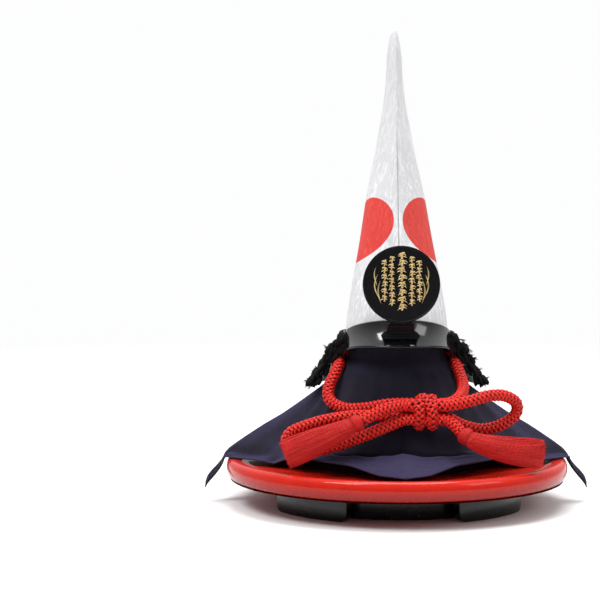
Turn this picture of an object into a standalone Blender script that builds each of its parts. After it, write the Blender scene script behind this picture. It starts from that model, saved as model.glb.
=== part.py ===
"""Kabuto helmet on a lacquered display stand.

A tall silver cap with a sharp front ridge stands on a cloth covered core. The cap carries a black
visor with a round crest disc and a laced neck guard of five lames. A thick braided cord runs round
behind the core, comes forward under the visor and is tied in a bow with two tassels. The core and its
square cloth stand on a round tray with a raised lip, four curved feet and a ring between them.

Units are metres, +Z is up, the wearer faces -Y and the origin is on the floor under the tray's centre.
"""

import math
from typing import NamedTuple

import bmesh
import bpy
from mathutils import Vector

# Clearances
GAP = 0.0003
HELMET_FIT = 0.0007
CLOTH_FIT = 0.0006

# Tray
TRAY_RADIUS = 0.150
TRAY_THICKNESS = 0.018
TRAY_NOSE = 0.006
TRAY_SLOPE = 0.013
TRAY_RECESS_DEPTH = 0.004
TRAY_SIDES = 40

# Feet and ring under the tray
FOOT_HEIGHT = 0.0222
FOOT_INSET = 0.035
FOOT_OUTER_RADIUS = TRAY_RADIUS - FOOT_INSET
FOOT_WALL = 0.011
FOOT_SPAN = math.radians(42)
FOOT_CORNER = 0.007
FOOT_COUNT = 4
RING_INSET = 0.006
RING_OUTER_RADIUS = FOOT_OUTER_RADIUS - FOOT_WALL - RING_INSET
RING_WALL = 0.018
RING_LIFT = 0.001

# Core under the helmet
CORE_HEIGHT = 0.1612
CORE_BASE_INSET = 0.066
CORE_BASE_RADIUS = TRAY_RADIUS - CORE_BASE_INSET
CORE_AIR = 0.012
CORE_WAIST_DROP = 0.016
HELMET_DROP = 0.052

# Square cloth over the core
CLOTH_WALL = 0.0012
CLOTH_SIDE_OVERHANG = 0.018
CLOTH_FRONT_INSET = 0.010
CLOTH_EDGE_INSET = 0.044
CLOTH_SIDE_REACH = TRAY_RADIUS + CLOTH_SIDE_OVERHANG
CLOTH_FRONT_REACH = TRAY_RADIUS - CLOTH_FRONT_INSET
CLOTH_EDGE_REACH = TRAY_RADIUS - CLOTH_EDGE_INSET
CLOTH_HANG_CLEARANCE = 0.0015
CLOTH_HANG_SLOPE = 1.76
CLOTH_HEM_LIFT = 0.012
CLOTH_HEM_LIFT_START = math.radians(6)
CLOTH_HEM_LIFT_END = math.radians(80)
CLOTH_HEM_LIFT_FADE = math.radians(18)
CLOTH_HEM_LIFT_FALL = 0.80
CLOTH_REST_START_INSET = 0.045
CLOTH_REST_END_INSET = 0.025

# Tall cap
CAP_HEIGHT = 0.274
CAP_HALF_WIDTH = 0.045
CAP_DEPTH = 0.110
CAP_WALL = 0.002
CAP_RIDGE_START_SHARE = 0.075
CAP_RIDGE_FULL_SHARE = 0.30
CAP_BACK_SHARPNESS = 0.45
CAP_COLUMNS = 32

# Visor
VISOR_WALL = 0.0018
VISOR_SPAN = math.radians(71)
VISOR_TOP_MIDDLE = 0.018
VISOR_TOP_END = 0.008
VISOR_LOW_MIDDLE = 0.0045
VISOR_LOW_END = 0.0150
VISOR_FLARE_MIDDLE = 0.0105
VISOR_FLARE_END = 0.0030
VISOR_STATIONS = 21

# Crest disc and its holder
DISC_DIAMETER = 0.065
DISC_THICKNESS = 0.0030
DISC_RIM_WIDTH = 0.0014
DISC_DOME = 0.0012
DISC_TILT = math.radians(5)
DISC_FORWARD = 0.018
DISC_RISE = 0.0495
DISC_SIDES = 28
HOLDER_HALF_WIDTH = 0.0115
HOLDER_BASE_HALF_WIDTH = 0.0165
HOLDER_TONGUE_RISE = 0.009
HOLDER_TONGUE_WALL = 0.0026

# Neck guard
LAME_COUNT = 5
LAME_WALL = 0.0012
LAME_SPAN = math.radians(105)
LAME_SPAN_STEP = math.radians(1)
LAME_SEAT = 0.0008
LAME_SLOPE = 0.25
LAME_TOP_RISE = 0.006
LAME_PITCH = 0.0085
LAME_FIRST_HEIGHT = 0.010
LAME_HEIGHT_GAIN = 0.00125
LAME_STATIONS = 25
LACING_DEPTH = 0.0020
LACING_GROOVE = 0.0009
LACING_FLUTES = 18
LACING_HEM = 0.0012

# Braided cord, its bow and tassels
CORD_DIAMETER = 0.0103
CORD_RING_SPACING = 1.5
CORD_END_SHARE = 0.15
KNOT_CENTRE = Vector((0.0200, -0.0800, 0.0890))
KNOT_HALF_LENGTH = 0.0120
KNOT_HALF_DEPTH = 0.0130
KNOT_HALF_HEIGHT = 0.0155
TASSEL_LENGTH = 0.070
TASSEL_HEAD_RADIUS = 0.0072
TASSEL_HALF_HEIGHT = 0.0130
TASSEL_HALF_DEPTH = 0.0085
TASSEL_LOCKS = 8


class CapRow(NamedTuple):
    """One section of the cap: rise as a share of its height, half width as a share of the half width,
    and the front ridge, the widest place and the back as shares of the depth."""

    rise: float
    half_width: float
    front: float
    middle: float
    back: float


class DrapeRow(NamedTuple):
    """One row of the cloth below the core's waist. A fall is a share of the height from the waist to the
    hem, and a reach is a share of the way from the waist out to the hem, at the side corners, at the
    front and back corners, and at the middle of the square's edges."""

    side_fall: float
    side_reach: float
    front_fall: float
    front_reach: float
    edge_fall: float
    edge_reach: float


CAP_ROWS = (
    CapRow(0.000, 1.000, -0.491, -0.036, 0.509),
    CapRow(0.058, 0.973, -0.482, -0.027, 0.509),
    CapRow(0.139, 0.900, -0.436, -0.009, 0.500),
    CapRow(0.215, 0.820, -0.373, 0.027, 0.500),
    CapRow(0.292, 0.733, -0.309, 0.082, 0.518),
    CapRow(0.369, 0.656, -0.245, 0.145, 0.545),
    CapRow(0.449, 0.578, -0.182, 0.209, 0.573),
    CapRow(0.526, 0.480, -0.118, 0.264, 0.600),
    CapRow(0.602, 0.384, -0.055, 0.309, 0.618),
    CapRow(0.679, 0.302, 0.009, 0.355, 0.636),
    CapRow(0.755, 0.222, 0.073, 0.391, 0.645),
    CapRow(0.836, 0.169, 0.136, 0.418, 0.645),
    CapRow(0.912, 0.147, 0.209, 0.436, 0.618),
    CapRow(0.964, 0.102, 0.282, 0.445, 0.573),
    CapRow(0.993, 0.049, 0.364, 0.445, 0.518),
    CapRow(1.000, 0.012, 0.430, 0.448, 0.466),
)
CAP_HOLLOW_ROWS = 12

DRAPE_ROWS = (
    DrapeRow(0.144, 0.095, 0.170, 0.100, 0.170, 0.170),
    DrapeRow(0.229, 0.180, 0.340, 0.180, 0.350, 0.300),
    DrapeRow(0.322, 0.298, 0.500, 0.240, 0.520, 0.430),
    DrapeRow(0.441, 0.460, 0.660, 0.340, 0.690, 0.570),
    DrapeRow(0.530, 0.600, 0.790, 0.460, 0.830, 0.700),
    DrapeRow(0.661, 0.782, 0.880, 0.620, 0.930, 0.800),
    DrapeRow(0.729, 0.855, 0.940, 0.800, 0.970, 0.880),
    DrapeRow(0.847, 0.919, 0.970, 0.910, 0.990, 0.950),
    DrapeRow(1.000, 1.000, 1.000, 1.000, 1.000, 1.000),
)
# Columns added beside each side corner, where the cloth hangs over the tray's edge
CORNER_COLUMNS = tuple(math.radians(step) for step in (-5.2, -3.2, 3.2, 5.2))

# Core below its waist: fall as a share of the height from waist to seat, and spread as a share of the
# way from the waist out to the base radius
CORE_ROWS = ((0.16, 0.18), (0.44, 0.47), (0.64, 0.66), (0.80, 0.84), (1.0, 1.0))
CORE_RISE_SHARES = (0.0, 0.235, 0.47, 0.75, 0.93)

# Routes of the two halves of the cord, chosen by hand. Each half starts behind the core and ends in its
# tassel. The chin stretch runs to the knot, the loop leaves it and comes back, and the tail leaves it.
CHIN_LEFT = (
    (-0.0002, 0.0534, 0.1262), (-0.0070, 0.0534, 0.1262), (-0.0240, 0.0500, 0.1262),
    (-0.0400, 0.0385, 0.1260),
    (-0.0495, 0.0225, 0.1262), (-0.0525, 0.0020, 0.1262), (-0.0510, -0.0180, 0.1240),
    (-0.0545, -0.0290, 0.1165), (-0.0600, -0.0370, 0.1060), (-0.0600, -0.0440, 0.0960),
    (-0.0480, -0.0560, 0.0895), (-0.0300, -0.0660, 0.0905), (-0.0120, -0.0735, 0.0945),
    (0.0010, -0.0745, 0.0952), (0.0077, -0.0745, 0.0952),
)
LOOP_LEFT = (
    (0.0077, -0.0745, 0.0832), (0.0020, -0.0745, 0.0832), (-0.0150, -0.0800, 0.0855),
    (-0.0390, -0.0830, 0.0860), (-0.0640, -0.0800, 0.0820), (-0.0800, -0.0745, 0.0765),
    (-0.0930, -0.0700, 0.0700), (-0.0965, -0.0700, 0.0625), (-0.0870, -0.0755, 0.0570),
    (-0.0700, -0.0815, 0.0570), (-0.0520, -0.0870, 0.0625), (-0.0300, -0.0900, 0.0710),
    (-0.0120, -0.0880, 0.0780), (0.0020, -0.0855, 0.0832), (0.0077, -0.0855, 0.0832),
)
TAIL_LEFT = (
    (0.0077, -0.0855, 0.0952), (0.0020, -0.0855, 0.0952), (-0.0130, -0.0925, 0.0935),
    (-0.0260, -0.0975, 0.0880), (-0.0340, -0.1000, 0.0840),
)
CHIN_RIGHT = (
    (0.0002, 0.0534, 0.1262), (0.0070, 0.0534, 0.1262), (0.0240, 0.0500, 0.1262),
    (0.0400, 0.0385, 0.1260),
    (0.0495, 0.0225, 0.1262), (0.0525, 0.0020, 0.1262), (0.0510, -0.0180, 0.1240),
    (0.0530, -0.0290, 0.1165), (0.0550, -0.0400, 0.1085), (0.0530, -0.0530, 0.1020),
    (0.0465, -0.0680, 0.0975), (0.0385, -0.0745, 0.0952), (0.0323, -0.0745, 0.0952),
)
LOOP_RIGHT = (
    (0.0323, -0.0855, 0.0952), (0.0390, -0.0855, 0.0952), (0.0560, -0.0845, 0.0985),
    (0.0740, -0.0780, 0.1024), (0.0890, -0.0700, 0.1010), (0.0985, -0.0640, 0.0940),
    (0.0980, -0.0630, 0.0860), (0.0880, -0.0660, 0.0780), (0.0700, -0.0710, 0.0732),
    (0.0530, -0.0735, 0.0765), (0.0390, -0.0745, 0.0832), (0.0323, -0.0745, 0.0832),
)
TAIL_RIGHT = (
    (0.0323, -0.0855, 0.0832), (0.0370, -0.0855, 0.0832), (0.0440, -0.0915, 0.0785),
    (0.0490, -0.0965, 0.0735),
)
TASSEL_LEFT_END = Vector((-0.0965, -0.1010, 0.0560))
TASSEL_RIGHT_END = Vector((0.1150, -0.0930, 0.0560))


def mix(start: float, end: float, share: float) -> float:
    """The value that lies this share of the way from start to end."""
    return start + (end - start) * share


def smooth_step(share: float) -> float:
    """A share from 0 to 1 that leaves and arrives level."""
    share = min(1.0, max(0.0, share))
    return share * share * (3 - 2 * share)


def tray_bottom() -> float:
    return FOOT_HEIGHT + GAP


def tray_top() -> float:
    return tray_bottom() + TRAY_THICKNESS


def core_seat() -> float:
    return tray_top() - TRAY_RECESS_DEPTH + GAP


def core_top() -> float:
    return core_seat() + CORE_HEIGHT


def brim_height() -> float:
    """The height of the cap's lower edge above the floor."""
    return core_top() - HELMET_DROP


def cap_row(rise: float) -> CapRow:
    """The cap's shares at any rise, straight from row to row."""
    rise = min(1.0, max(0.0, rise))
    for low, high in zip(CAP_ROWS, CAP_ROWS[1:]):
        if rise <= high.rise:
            share = (rise - low.rise) / (high.rise - low.rise)
            return CapRow(*(mix(a, b, share) for a, b in zip(low, high)))
    return CAP_ROWS[-1]


def cap_sizes(height: float) -> tuple[float, float, float, float]:
    """Half width, front, middle and back of the cap's outside at a height above the floor."""
    row = cap_row((height - brim_height()) / CAP_HEIGHT)
    return (row.half_width * CAP_HALF_WIDTH, row.front * CAP_DEPTH, row.middle * CAP_DEPTH,
            row.back * CAP_DEPTH)


def section_point(sizes, height: float, turn: float, sharpness: float = 0.0) -> Vector:
    """A point of a level section. The turn is 0 at the front, a quarter at +X and a half at the back.
    Sharpness 0 gives an oval and 1 a ridge at the front with a softer one at the back."""
    half_width, front, middle, back = sizes
    turn = math.remainder(turn, math.tau)
    quarter = abs(turn) / (math.pi / 2)
    rounded = math.cos(turn)
    ridged = 1 - quarter
    if quarter <= 1:
        y = middle + (front - middle) * mix(rounded, ridged, sharpness)
    else:
        y = middle - (back - middle) * mix(rounded, ridged, sharpness * CAP_BACK_SHARPNESS)
    return Vector((half_width * math.sin(turn), y, height))


def outward(sizes, turn: float) -> Vector:
    """The level direction away from an oval section."""
    half_width, front, middle, back = sizes
    reach = middle - front if math.cos(turn) > 0 else back - middle
    return Vector((math.sin(turn) / half_width, -math.cos(turn) / reach, 0)).normalized()


def make_material(name: str, colour: tuple[float, float, float], roughness: float,
                  metallic: float = 0.0) -> bpy.types.Material:
    material = bpy.data.materials.new(name)
    material.use_nodes = True
    shader = material.node_tree.nodes["Principled BSDF"]
    shader.inputs["Base Color"].default_value = (*colour, 1.0)
    shader.inputs["Roughness"].default_value = roughness
    shader.inputs["Metallic"].default_value = metallic
    return material


def add_mesh(name: str, mesh: bmesh.types.BMesh, material: bpy.types.Material,
             sharp_angle: float = 40.0) -> bpy.types.Object:
    """Adds a finished bmesh to the scene as one object, shaded smooth but for its sharp edges."""
    data = bpy.data.meshes.new(name)
    mesh.to_mesh(data)
    mesh.free()
    data.shade_smooth()
    data.set_sharp_from_angle(angle=math.radians(sharp_angle))
    data.materials.append(material)
    obj = bpy.data.objects.new(name, data)
    bpy.context.scene.collection.objects.link(obj)
    return obj


def loft(sections: list[list[Vector]], closed_ends: bool = True) -> bmesh.types.BMesh:
    """Joins closed loops of points, one after another, and fills the first and the last."""
    mesh = bmesh.new()
    loops = [[mesh.verts.new(point) for point in section] for section in sections]
    count = len(loops[0])
    for here, there in zip(loops, loops[1:]):
        for index in range(count):
            after = (index + 1) % count
            mesh.faces.new((here[index], here[after], there[after], there[index]))
    if closed_ends:
        mesh.faces.new(loops[0])
        mesh.faces.new(loops[-1])
    bmesh.ops.triangulate(mesh, faces=[face for face in mesh.faces if len(face.verts) > 4])
    bmesh.ops.recalc_face_normals(mesh, faces=mesh.faces)
    return mesh


def turned_section(radius: float, height: float, sides: int) -> list[Vector]:
    return [Vector((radius * math.cos(math.tau * step / sides), radius * math.sin(math.tau * step / sides),
                    height)) for step in range(sides)]


def add_turned(name: str, profile, sides: int, material, sharp_angle: float = 40.0) -> bpy.types.Object:
    """A solid turned about the upright axis from (radius, height) pairs."""
    sections = [turned_section(radius, height, sides) for radius, height in profile]
    return add_mesh(name, loft(sections), material, sharp_angle)


def add_tray(material) -> None:
    low = tray_bottom()
    top = tray_top()
    floor = top - TRAY_RECESS_DEPTH
    lip_radius = TRAY_RADIUS - TRAY_NOSE
    recess_radius = lip_radius - TRAY_SLOPE
    middle = mix(low, top, 0.5)
    profile = (
        (recess_radius * 0.2, low),
        (TRAY_RADIUS - TRAY_NOSE * 1.2, low),
        (TRAY_RADIUS - TRAY_NOSE * 0.3, low + TRAY_THICKNESS * 0.15),
        (TRAY_RADIUS, middle),
        (TRAY_RADIUS - TRAY_NOSE * 0.15, mix(middle, top, 0.65)),
        (TRAY_RADIUS - TRAY_NOSE * 0.5, mix(middle, top, 0.93)),
        (lip_radius, top),
        (lip_radius - TRAY_SLOPE * 0.45, mix(top, floor, 0.22)),
        (lip_radius - TRAY_SLOPE * 0.85, mix(top, floor, 0.75)),
        (recess_radius, floor),
        (recess_radius * 0.2, floor),
    )
    add_turned("display_tray", profile, TRAY_SIDES, material)


def add_foot_ring(material) -> None:
    inner = RING_OUTER_RADIUS - RING_WALL
    sections = [
        turned_section(RING_OUTER_RADIUS, FOOT_HEIGHT, TRAY_SIDES),
        turned_section(RING_OUTER_RADIUS, RING_LIFT, TRAY_SIDES),
        turned_section(inner, RING_LIFT, TRAY_SIDES),
        turned_section(inner, FOOT_HEIGHT, TRAY_SIDES),
        turned_section(RING_OUTER_RADIUS, FOOT_HEIGHT, TRAY_SIDES),
    ]
    mesh = loft(sections, closed_ends=False)
    bmesh.ops.remove_doubles(mesh, verts=mesh.verts, dist=0.00001)
    bmesh.ops.recalc_face_normals(mesh, faces=mesh.faces)
    add_mesh("tray_foot_ring", mesh, material)


def add_foot(name: str, facing: float, material) -> None:
    """A curved foot whose two lower corners are rounded."""
    corner_steps = 4
    length = FOOT_OUTER_RADIUS * FOOT_SPAN
    corner = [FOOT_CORNER * (1 - math.cos(math.pi / 2 * step / corner_steps))
              for step in range(corner_steps + 1)]
    middle = [mix(FOOT_CORNER, length - FOOT_CORNER, step / corner_steps) for step in range(1, corner_steps)]
    distances = corner + middle + [length - distance for distance in reversed(corner)]
    sections = []
    for distance in distances:
        from_end = min(distance, length - distance)
        inside = max(0.0, FOOT_CORNER - from_end)
        low = FOOT_CORNER - math.sqrt(max(0.0, FOOT_CORNER**2 - inside**2))
        angle = facing - FOOT_SPAN / 2 + FOOT_SPAN * distance / length
        ray = Vector((math.cos(angle), math.sin(angle), 0))
        inner = FOOT_OUTER_RADIUS - FOOT_WALL
        sections.append([
            ray * FOOT_OUTER_RADIUS + Vector((0, 0, FOOT_HEIGHT)),
            ray * FOOT_OUTER_RADIUS + Vector((0, 0, low)),
            ray * inner + Vector((0, 0, low)),
            ray * inner + Vector((0, 0, FOOT_HEIGHT)),
        ])
    add_mesh(name, loft(sections), material)


def section_turns() -> list[float]:
    return [math.tau * step / CAP_COLUMNS for step in range(CAP_COLUMNS)]


def cloth_turns() -> list[float]:
    """The cap's columns, with more of them beside the two side corners."""
    extra = [side + step for side in (math.pi / 2, math.pi * 1.5) for step in CORNER_COLUMNS]
    return sorted(section_turns() + extra)


def core_sizes(height: float, grow: float = 0.0) -> tuple[float, float, float, float]:
    """Half width, front, middle and back of the core inside the cap, grown by a clearance."""
    half_width, front, middle, back = cap_sizes(max(height, brim_height()))
    side_room = CAP_WALL + HELMET_FIT + CLOTH_WALL + CLOTH_FIT
    end_room = CAP_WALL + CORE_AIR
    return (half_width - side_room + grow, front + end_room - grow, middle, back - end_room + grow)


def ridge_sharpness(height: float) -> float:
    """How sharp the cap's ridges are at a height: none at the brim, full higher up."""
    rise = (height - brim_height()) / CAP_HEIGHT
    return smooth_step((rise - CAP_RIDGE_START_SHARE) / (CAP_RIDGE_FULL_SHARE - CAP_RIDGE_START_SHARE))


def waist_height() -> float:
    return brim_height() - CORE_WAIST_DROP


def core_heights() -> list[float]:
    return [mix(waist_height(), core_top(), share) for share in CORE_RISE_SHARES]


def add_core(material) -> None:
    """The plain core that holds the helmet up."""
    waist = waist_height()
    waist_sizes = core_sizes(waist)
    sections = []
    for fall, spread in reversed(CORE_ROWS):
        height = mix(waist, core_seat(), fall)
        ring = []
        for turn in section_turns():
            start = section_point(waist_sizes, height, turn)
            end = Vector((math.sin(turn), -math.cos(turn), 0)) * CORE_BASE_RADIUS
            ring.append(Vector((mix(start.x, end.x, spread), mix(start.y, end.y, spread), height)))
        sections.append(ring)
    for height in core_heights():
        sharpness = ridge_sharpness(height)
        sections.append([section_point(core_sizes(height), height, turn, sharpness)
                         for turn in section_turns()])
    crown = core_sizes(core_top(), -HELMET_DROP * 0.06)
    sharpness = ridge_sharpness(core_top())
    sections.append([section_point(crown, core_top(), turn, sharpness) for turn in section_turns()])
    add_mesh("display_core", loft(sections), material)


def cloth_rest_height(radius: float) -> float:
    """The lowest that the cloth's underside may lie at a distance from the tray's axis. It lies in the
    recess, rises to the lip, and past the rim it hangs down at a steady slope."""
    lip = tray_top() + GAP
    floor = core_seat()
    hang_start = TRAY_RADIUS + CLOTH_HANG_CLEARANCE
    if radius > hang_start:
        return lip - (radius - hang_start) * CLOTH_HANG_SLOPE
    rest_start = TRAY_RADIUS - CLOTH_REST_START_INSET
    rest_end = TRAY_RADIUS - CLOTH_REST_END_INSET
    share = (radius - rest_start) / (rest_end - rest_start)
    return mix(floor, lip, min(1.0, max(0.0, share)))


def corner_share(turn: float, sharp: float) -> float:
    """1 at the square's corners and 0 at the middle of its edges, as a soft wave or as the square."""
    wave = math.cos(2 * turn) ** 2
    reach = 1 / (abs(math.sin(turn)) + abs(math.cos(turn)))
    square = (reach - math.sqrt(0.5)) / (1 - math.sqrt(0.5))
    return mix(wave, square, sharp)


def cloth_hem_lift(turn: float) -> float:
    """How far the hem stands off the tray between the front corner and the side corners."""
    side = abs(math.remainder(turn, math.tau))
    near = min(side - CLOTH_HEM_LIFT_START, CLOTH_HEM_LIFT_END - side)
    return CLOTH_HEM_LIFT * min(1.0, max(0.0, near / CLOTH_HEM_LIFT_FADE))


def cloth_point(row: DrapeRow, turn: float, sharp: float) -> Vector:
    """A point of the cloth's underside below the core's waist."""
    side = math.sin(turn) ** 2
    hem_corner = corner_share(turn, 1.0)
    corner = corner_share(turn, sharp)

    def blend(at_side: float, at_front: float, at_edge: float, share: float) -> float:
        return mix(at_edge, mix(at_front, at_side, side), share)

    reach = blend(CLOTH_SIDE_REACH, CLOTH_FRONT_REACH, CLOTH_EDGE_REACH, hem_corner)
    hem = Vector((math.sin(turn), -math.cos(turn), 0)) * reach
    waist = section_point(core_sizes(waist_height(), CLOTH_FIT), waist_height(), turn)
    outward_share = blend(row.side_reach, row.front_reach, row.edge_reach, corner)
    fall_share = blend(row.side_fall, row.front_fall, row.edge_fall, corner)
    x = mix(waist.x, hem.x, outward_share)
    y = mix(waist.y, hem.y, outward_share)
    hem_height = blend(cloth_rest_height(CLOTH_SIDE_REACH), cloth_rest_height(CLOTH_FRONT_REACH),
                       cloth_rest_height(CLOTH_EDGE_REACH), hem_corner)
    lift_share = max(0.0, (fall_share - CLOTH_HEM_LIFT_FALL) / (1 - CLOTH_HEM_LIFT_FALL))
    height = mix(waist_height(), hem_height, fall_share) + cloth_hem_lift(turn) * lift_share
    return Vector((x, y, max(height, cloth_rest_height(math.hypot(x, y)))))


def add_cloth(material) -> None:
    """The square cloth, with its corners at the front, the back and both sides."""
    turns = cloth_turns()
    mesh = bmesh.new()
    rings = []
    crown = core_top() + GAP
    crown_sizes = core_sizes(core_top(), -HELMET_DROP * 0.04)
    sharpness = ridge_sharpness(core_top())
    rings.append([section_point(crown_sizes, crown, turn, sharpness) for turn in turns])
    for height in reversed(core_heights()):
        sharpness = ridge_sharpness(height)
        rings.append([section_point(core_sizes(height, CLOTH_FIT), height, turn, sharpness) for turn in turns])
    for index, row in enumerate(DRAPE_ROWS):
        sharp = (index + 1) / len(DRAPE_ROWS)
        rings.append([cloth_point(row, turn, sharp) for turn in turns])
    loops = [[mesh.verts.new(point) for point in ring] for ring in rings]
    centre = mesh.verts.new(sum(rings[0], Vector()) / len(turns))
    count = len(turns)
    for index in range(count):
        after = (index + 1) % count
        mesh.faces.new((centre, loops[0][index], loops[0][after]))
        for upper, lower in zip(loops, loops[1:]):
            mesh.faces.new((upper[index], lower[index], lower[after], upper[after]))
    for face in mesh.faces:
        face.normal_update()
    if loops[0][0].link_faces[0].normal.z < 0:
        bmesh.ops.reverse_faces(mesh, faces=mesh.faces)
    obj = add_mesh("display_cloth", mesh, material, 60)
    wall = obj.modifiers.new("wall", "SOLIDIFY")
    wall.thickness = CLOTH_WALL
    wall.offset = 1
    wall.use_even_offset = False


def add_cap(material) -> None:
    """The hollow cap, open below, from its inner top down to the brim and up the outside to the tip."""
    outer = []
    for row in CAP_ROWS:
        height = brim_height() + row.rise * CAP_HEIGHT
        sharpness = ridge_sharpness(height)
        outer.append([section_point(cap_sizes(height), height, turn, sharpness)
                      for turn in section_turns()])
    inner = []
    for row in CAP_ROWS[:CAP_HOLLOW_ROWS]:
        height = brim_height() + row.rise * CAP_HEIGHT
        sharpness = ridge_sharpness(height)
        half_width, front, middle, back = cap_sizes(height)
        ridge_wall = CAP_WALL * mix(1.0, 1.9, sharpness)
        back_wall = CAP_WALL * mix(1.0, 1.4, sharpness)
        sizes = (half_width - CAP_WALL, front + ridge_wall, middle, back - back_wall)
        inner.append([section_point(sizes, height, turn, sharpness) for turn in section_turns()])
    add_mesh("helmet_cap", loft(inner[::-1] + outer), material, 30)


def visor_face(turn: float, share: float) -> Vector:
    """A point of the visor's inner face, from its upper edge (0) to its flared lower edge (1)."""
    end = (abs(turn) / VISOR_SPAN) ** 2
    top = brim_height() + mix(VISOR_TOP_MIDDLE, VISOR_TOP_END, end)
    low = brim_height() - mix(VISOR_LOW_MIDDLE, VISOR_LOW_END, end**2)
    height = mix(top, low, share)
    flare = mix(VISOR_FLARE_MIDDLE, VISOR_FLARE_END, end)
    sizes = cap_sizes(max(height, brim_height()))
    return (section_point(sizes, height, turn)
            + outward(sizes, turn) * (HELMET_FIT + flare * max(0.0, share) ** 2.2))


def visor_normal(turn: float, share: float) -> Vector:
    """The direction away from the visor's face."""
    step = 0.01
    along = visor_face(turn + step, share) - visor_face(turn - step, share)
    down = visor_face(turn, share + step) - visor_face(turn, share - step)
    return down.cross(along).normalized()


def visor_outside(turn: float, share: float, clearance: float = 0.0) -> Vector:
    return visor_face(turn, share) + visor_normal(turn, share) * (VISOR_WALL + clearance)


def add_visor(material) -> None:
    shares = (0.0, 0.35, 0.62, 0.84, 1.0)
    sections = []
    for step in range(VISOR_STATIONS):
        turn = mix(-VISOR_SPAN, VISOR_SPAN, step / (VISOR_STATIONS - 1))
        inner = [visor_face(turn, share) for share in shares]
        outer = [visor_outside(turn, share) for share in shares]
        sections.append(outer + inner[::-1])
    add_mesh("helmet_visor", loft(sections), material)


def disc_centre() -> Vector:
    front = cap_sizes(brim_height())[1]
    return Vector((0, front - DISC_FORWARD, brim_height() + DISC_RISE))


def disc_axes() -> tuple[Vector, Vector]:
    """The disc's direction forward and its direction up."""
    forward = Vector((0, -math.cos(DISC_TILT), math.sin(DISC_TILT)))
    up = Vector((0, math.sin(DISC_TILT), math.cos(DISC_TILT)))
    return forward, up


def add_disc(material) -> None:
    radius = DISC_DIAMETER / 2
    half = DISC_THICKNESS / 2
    forward, up = disc_axes()
    profile = (
        (radius * 0.15, -half),
        (radius - half * 0.5, -half),
        (radius, -half * 0.4),
        (radius, half * 0.5),
        (radius - DISC_RIM_WIDTH * 0.4, half),
        (radius - DISC_RIM_WIDTH, half * 0.9),
        (radius - DISC_RIM_WIDTH * 1.4, half * 0.55),
        (radius * 0.65, half * 0.55 + DISC_DOME * 0.6),
        (radius * 0.15, half * 0.55 + DISC_DOME),
    )
    sections = []
    for ring_radius, depth in profile:
        ring = []
        for step in range(DISC_SIDES):
            angle = math.tau * step / DISC_SIDES
            across = Vector((math.cos(angle), 0, 0)) + up * math.sin(angle)
            ring.append(disc_centre() + across * ring_radius + forward * depth)
        sections.append(ring)
    add_mesh("crest_disc", loft(sections), material)


def add_holder(material) -> None:
    """The crest's holder: a block on the visor, with a wider base and a tongue up behind the disc."""
    forward, up = disc_axes()
    disc_low = disc_centre() - up * (DISC_DIAMETER / 2)
    back_of_disc = DISC_THICKNESS / 2 + GAP
    block_top = disc_low.z - GAP * 2
    visor_top = brim_height() + VISOR_TOP_MIDDLE

    def disc_back(height: float) -> float:
        """The y of the plane just behind the disc, at a height."""
        return (disc_centre() - forward * back_of_disc).y + (height - disc_centre().z) * math.tan(DISC_TILT)

    def back_line(height: float, x: float) -> float:
        """The y of the visor's outside, with the gap, at a height and a distance from the middle."""
        turn = x / CAP_HALF_WIDTH
        share = 0.5
        for _ in range(12):
            point = visor_outside(turn, share, GAP * 2)
            turn += (x - point.x) / CAP_HALF_WIDTH
            share += (point.z - height) / (VISOR_TOP_MIDDLE + VISOR_LOW_MIDDLE)
        return point.y

    rows = (
        (visor_top - 0.0150, HOLDER_BASE_HALF_WIDTH * 0.94, 0.0035),
        (visor_top - 0.0122, HOLDER_BASE_HALF_WIDTH, 0.0042),
        (visor_top - 0.0095, HOLDER_BASE_HALF_WIDTH * 0.86, 0.0046),
        (visor_top - 0.0080, HOLDER_HALF_WIDTH, 0.0072),
        (mix(visor_top - 0.0080, block_top, 0.75), HOLDER_HALF_WIDTH, 0.0118),
    )
    sections = []
    shares = (-1.0, -0.5, 0.0, 0.5, 1.0)
    for height, half_width, depth in rows:
        back = [Vector((half_width * share, back_line(height, half_width * share), height))
                for share in shares]
        front = [Vector((point.x, back_line(height, 0) - depth, height)) for point in reversed(back)]
        sections.append(back + front)
    for height, half_width, wall in (
        (block_top, HOLDER_HALF_WIDTH * 0.9, HOLDER_TONGUE_WALL * 2),
        (block_top + HOLDER_TONGUE_RISE * 0.3, HOLDER_HALF_WIDTH * 0.75, HOLDER_TONGUE_WALL),
        (block_top + HOLDER_TONGUE_RISE, HOLDER_HALF_WIDTH * 0.6, HOLDER_TONGUE_WALL * 0.8),
    ):
        plane = disc_back(height)
        back = [Vector((half_width * share, plane + wall, height)) for share in shares]
        front = [Vector((point.x, plane, height)) for point in reversed(back)]
        sections.append(back + front)
    add_mesh("crest_holder", loft(sections), material, 25)


def lame_top(index: int) -> float:
    return brim_height() + LAME_TOP_RISE - index * LAME_PITCH


def lame_height(index: int) -> float:
    return LAME_FIRST_HEIGHT + index * LAME_HEIGHT_GAIN


def lame_offset(index: int) -> float:
    """How far the inner face of a lame's upper edge stands off the cap."""
    step = LAME_WALL + LACING_DEPTH + GAP * 2 + LAME_SLOPE * LAME_PITCH
    return LAME_SEAT + index * step


def guard_point(turn: float, height: float, offset: float) -> Vector:
    """A point of the neck guard at a height, standing off the cap's brim by an offset."""
    sizes = cap_sizes(max(height, brim_height()))
    rim = cap_sizes(brim_height())
    return section_point(rim, height, turn) + outward(sizes, turn) * offset


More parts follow.
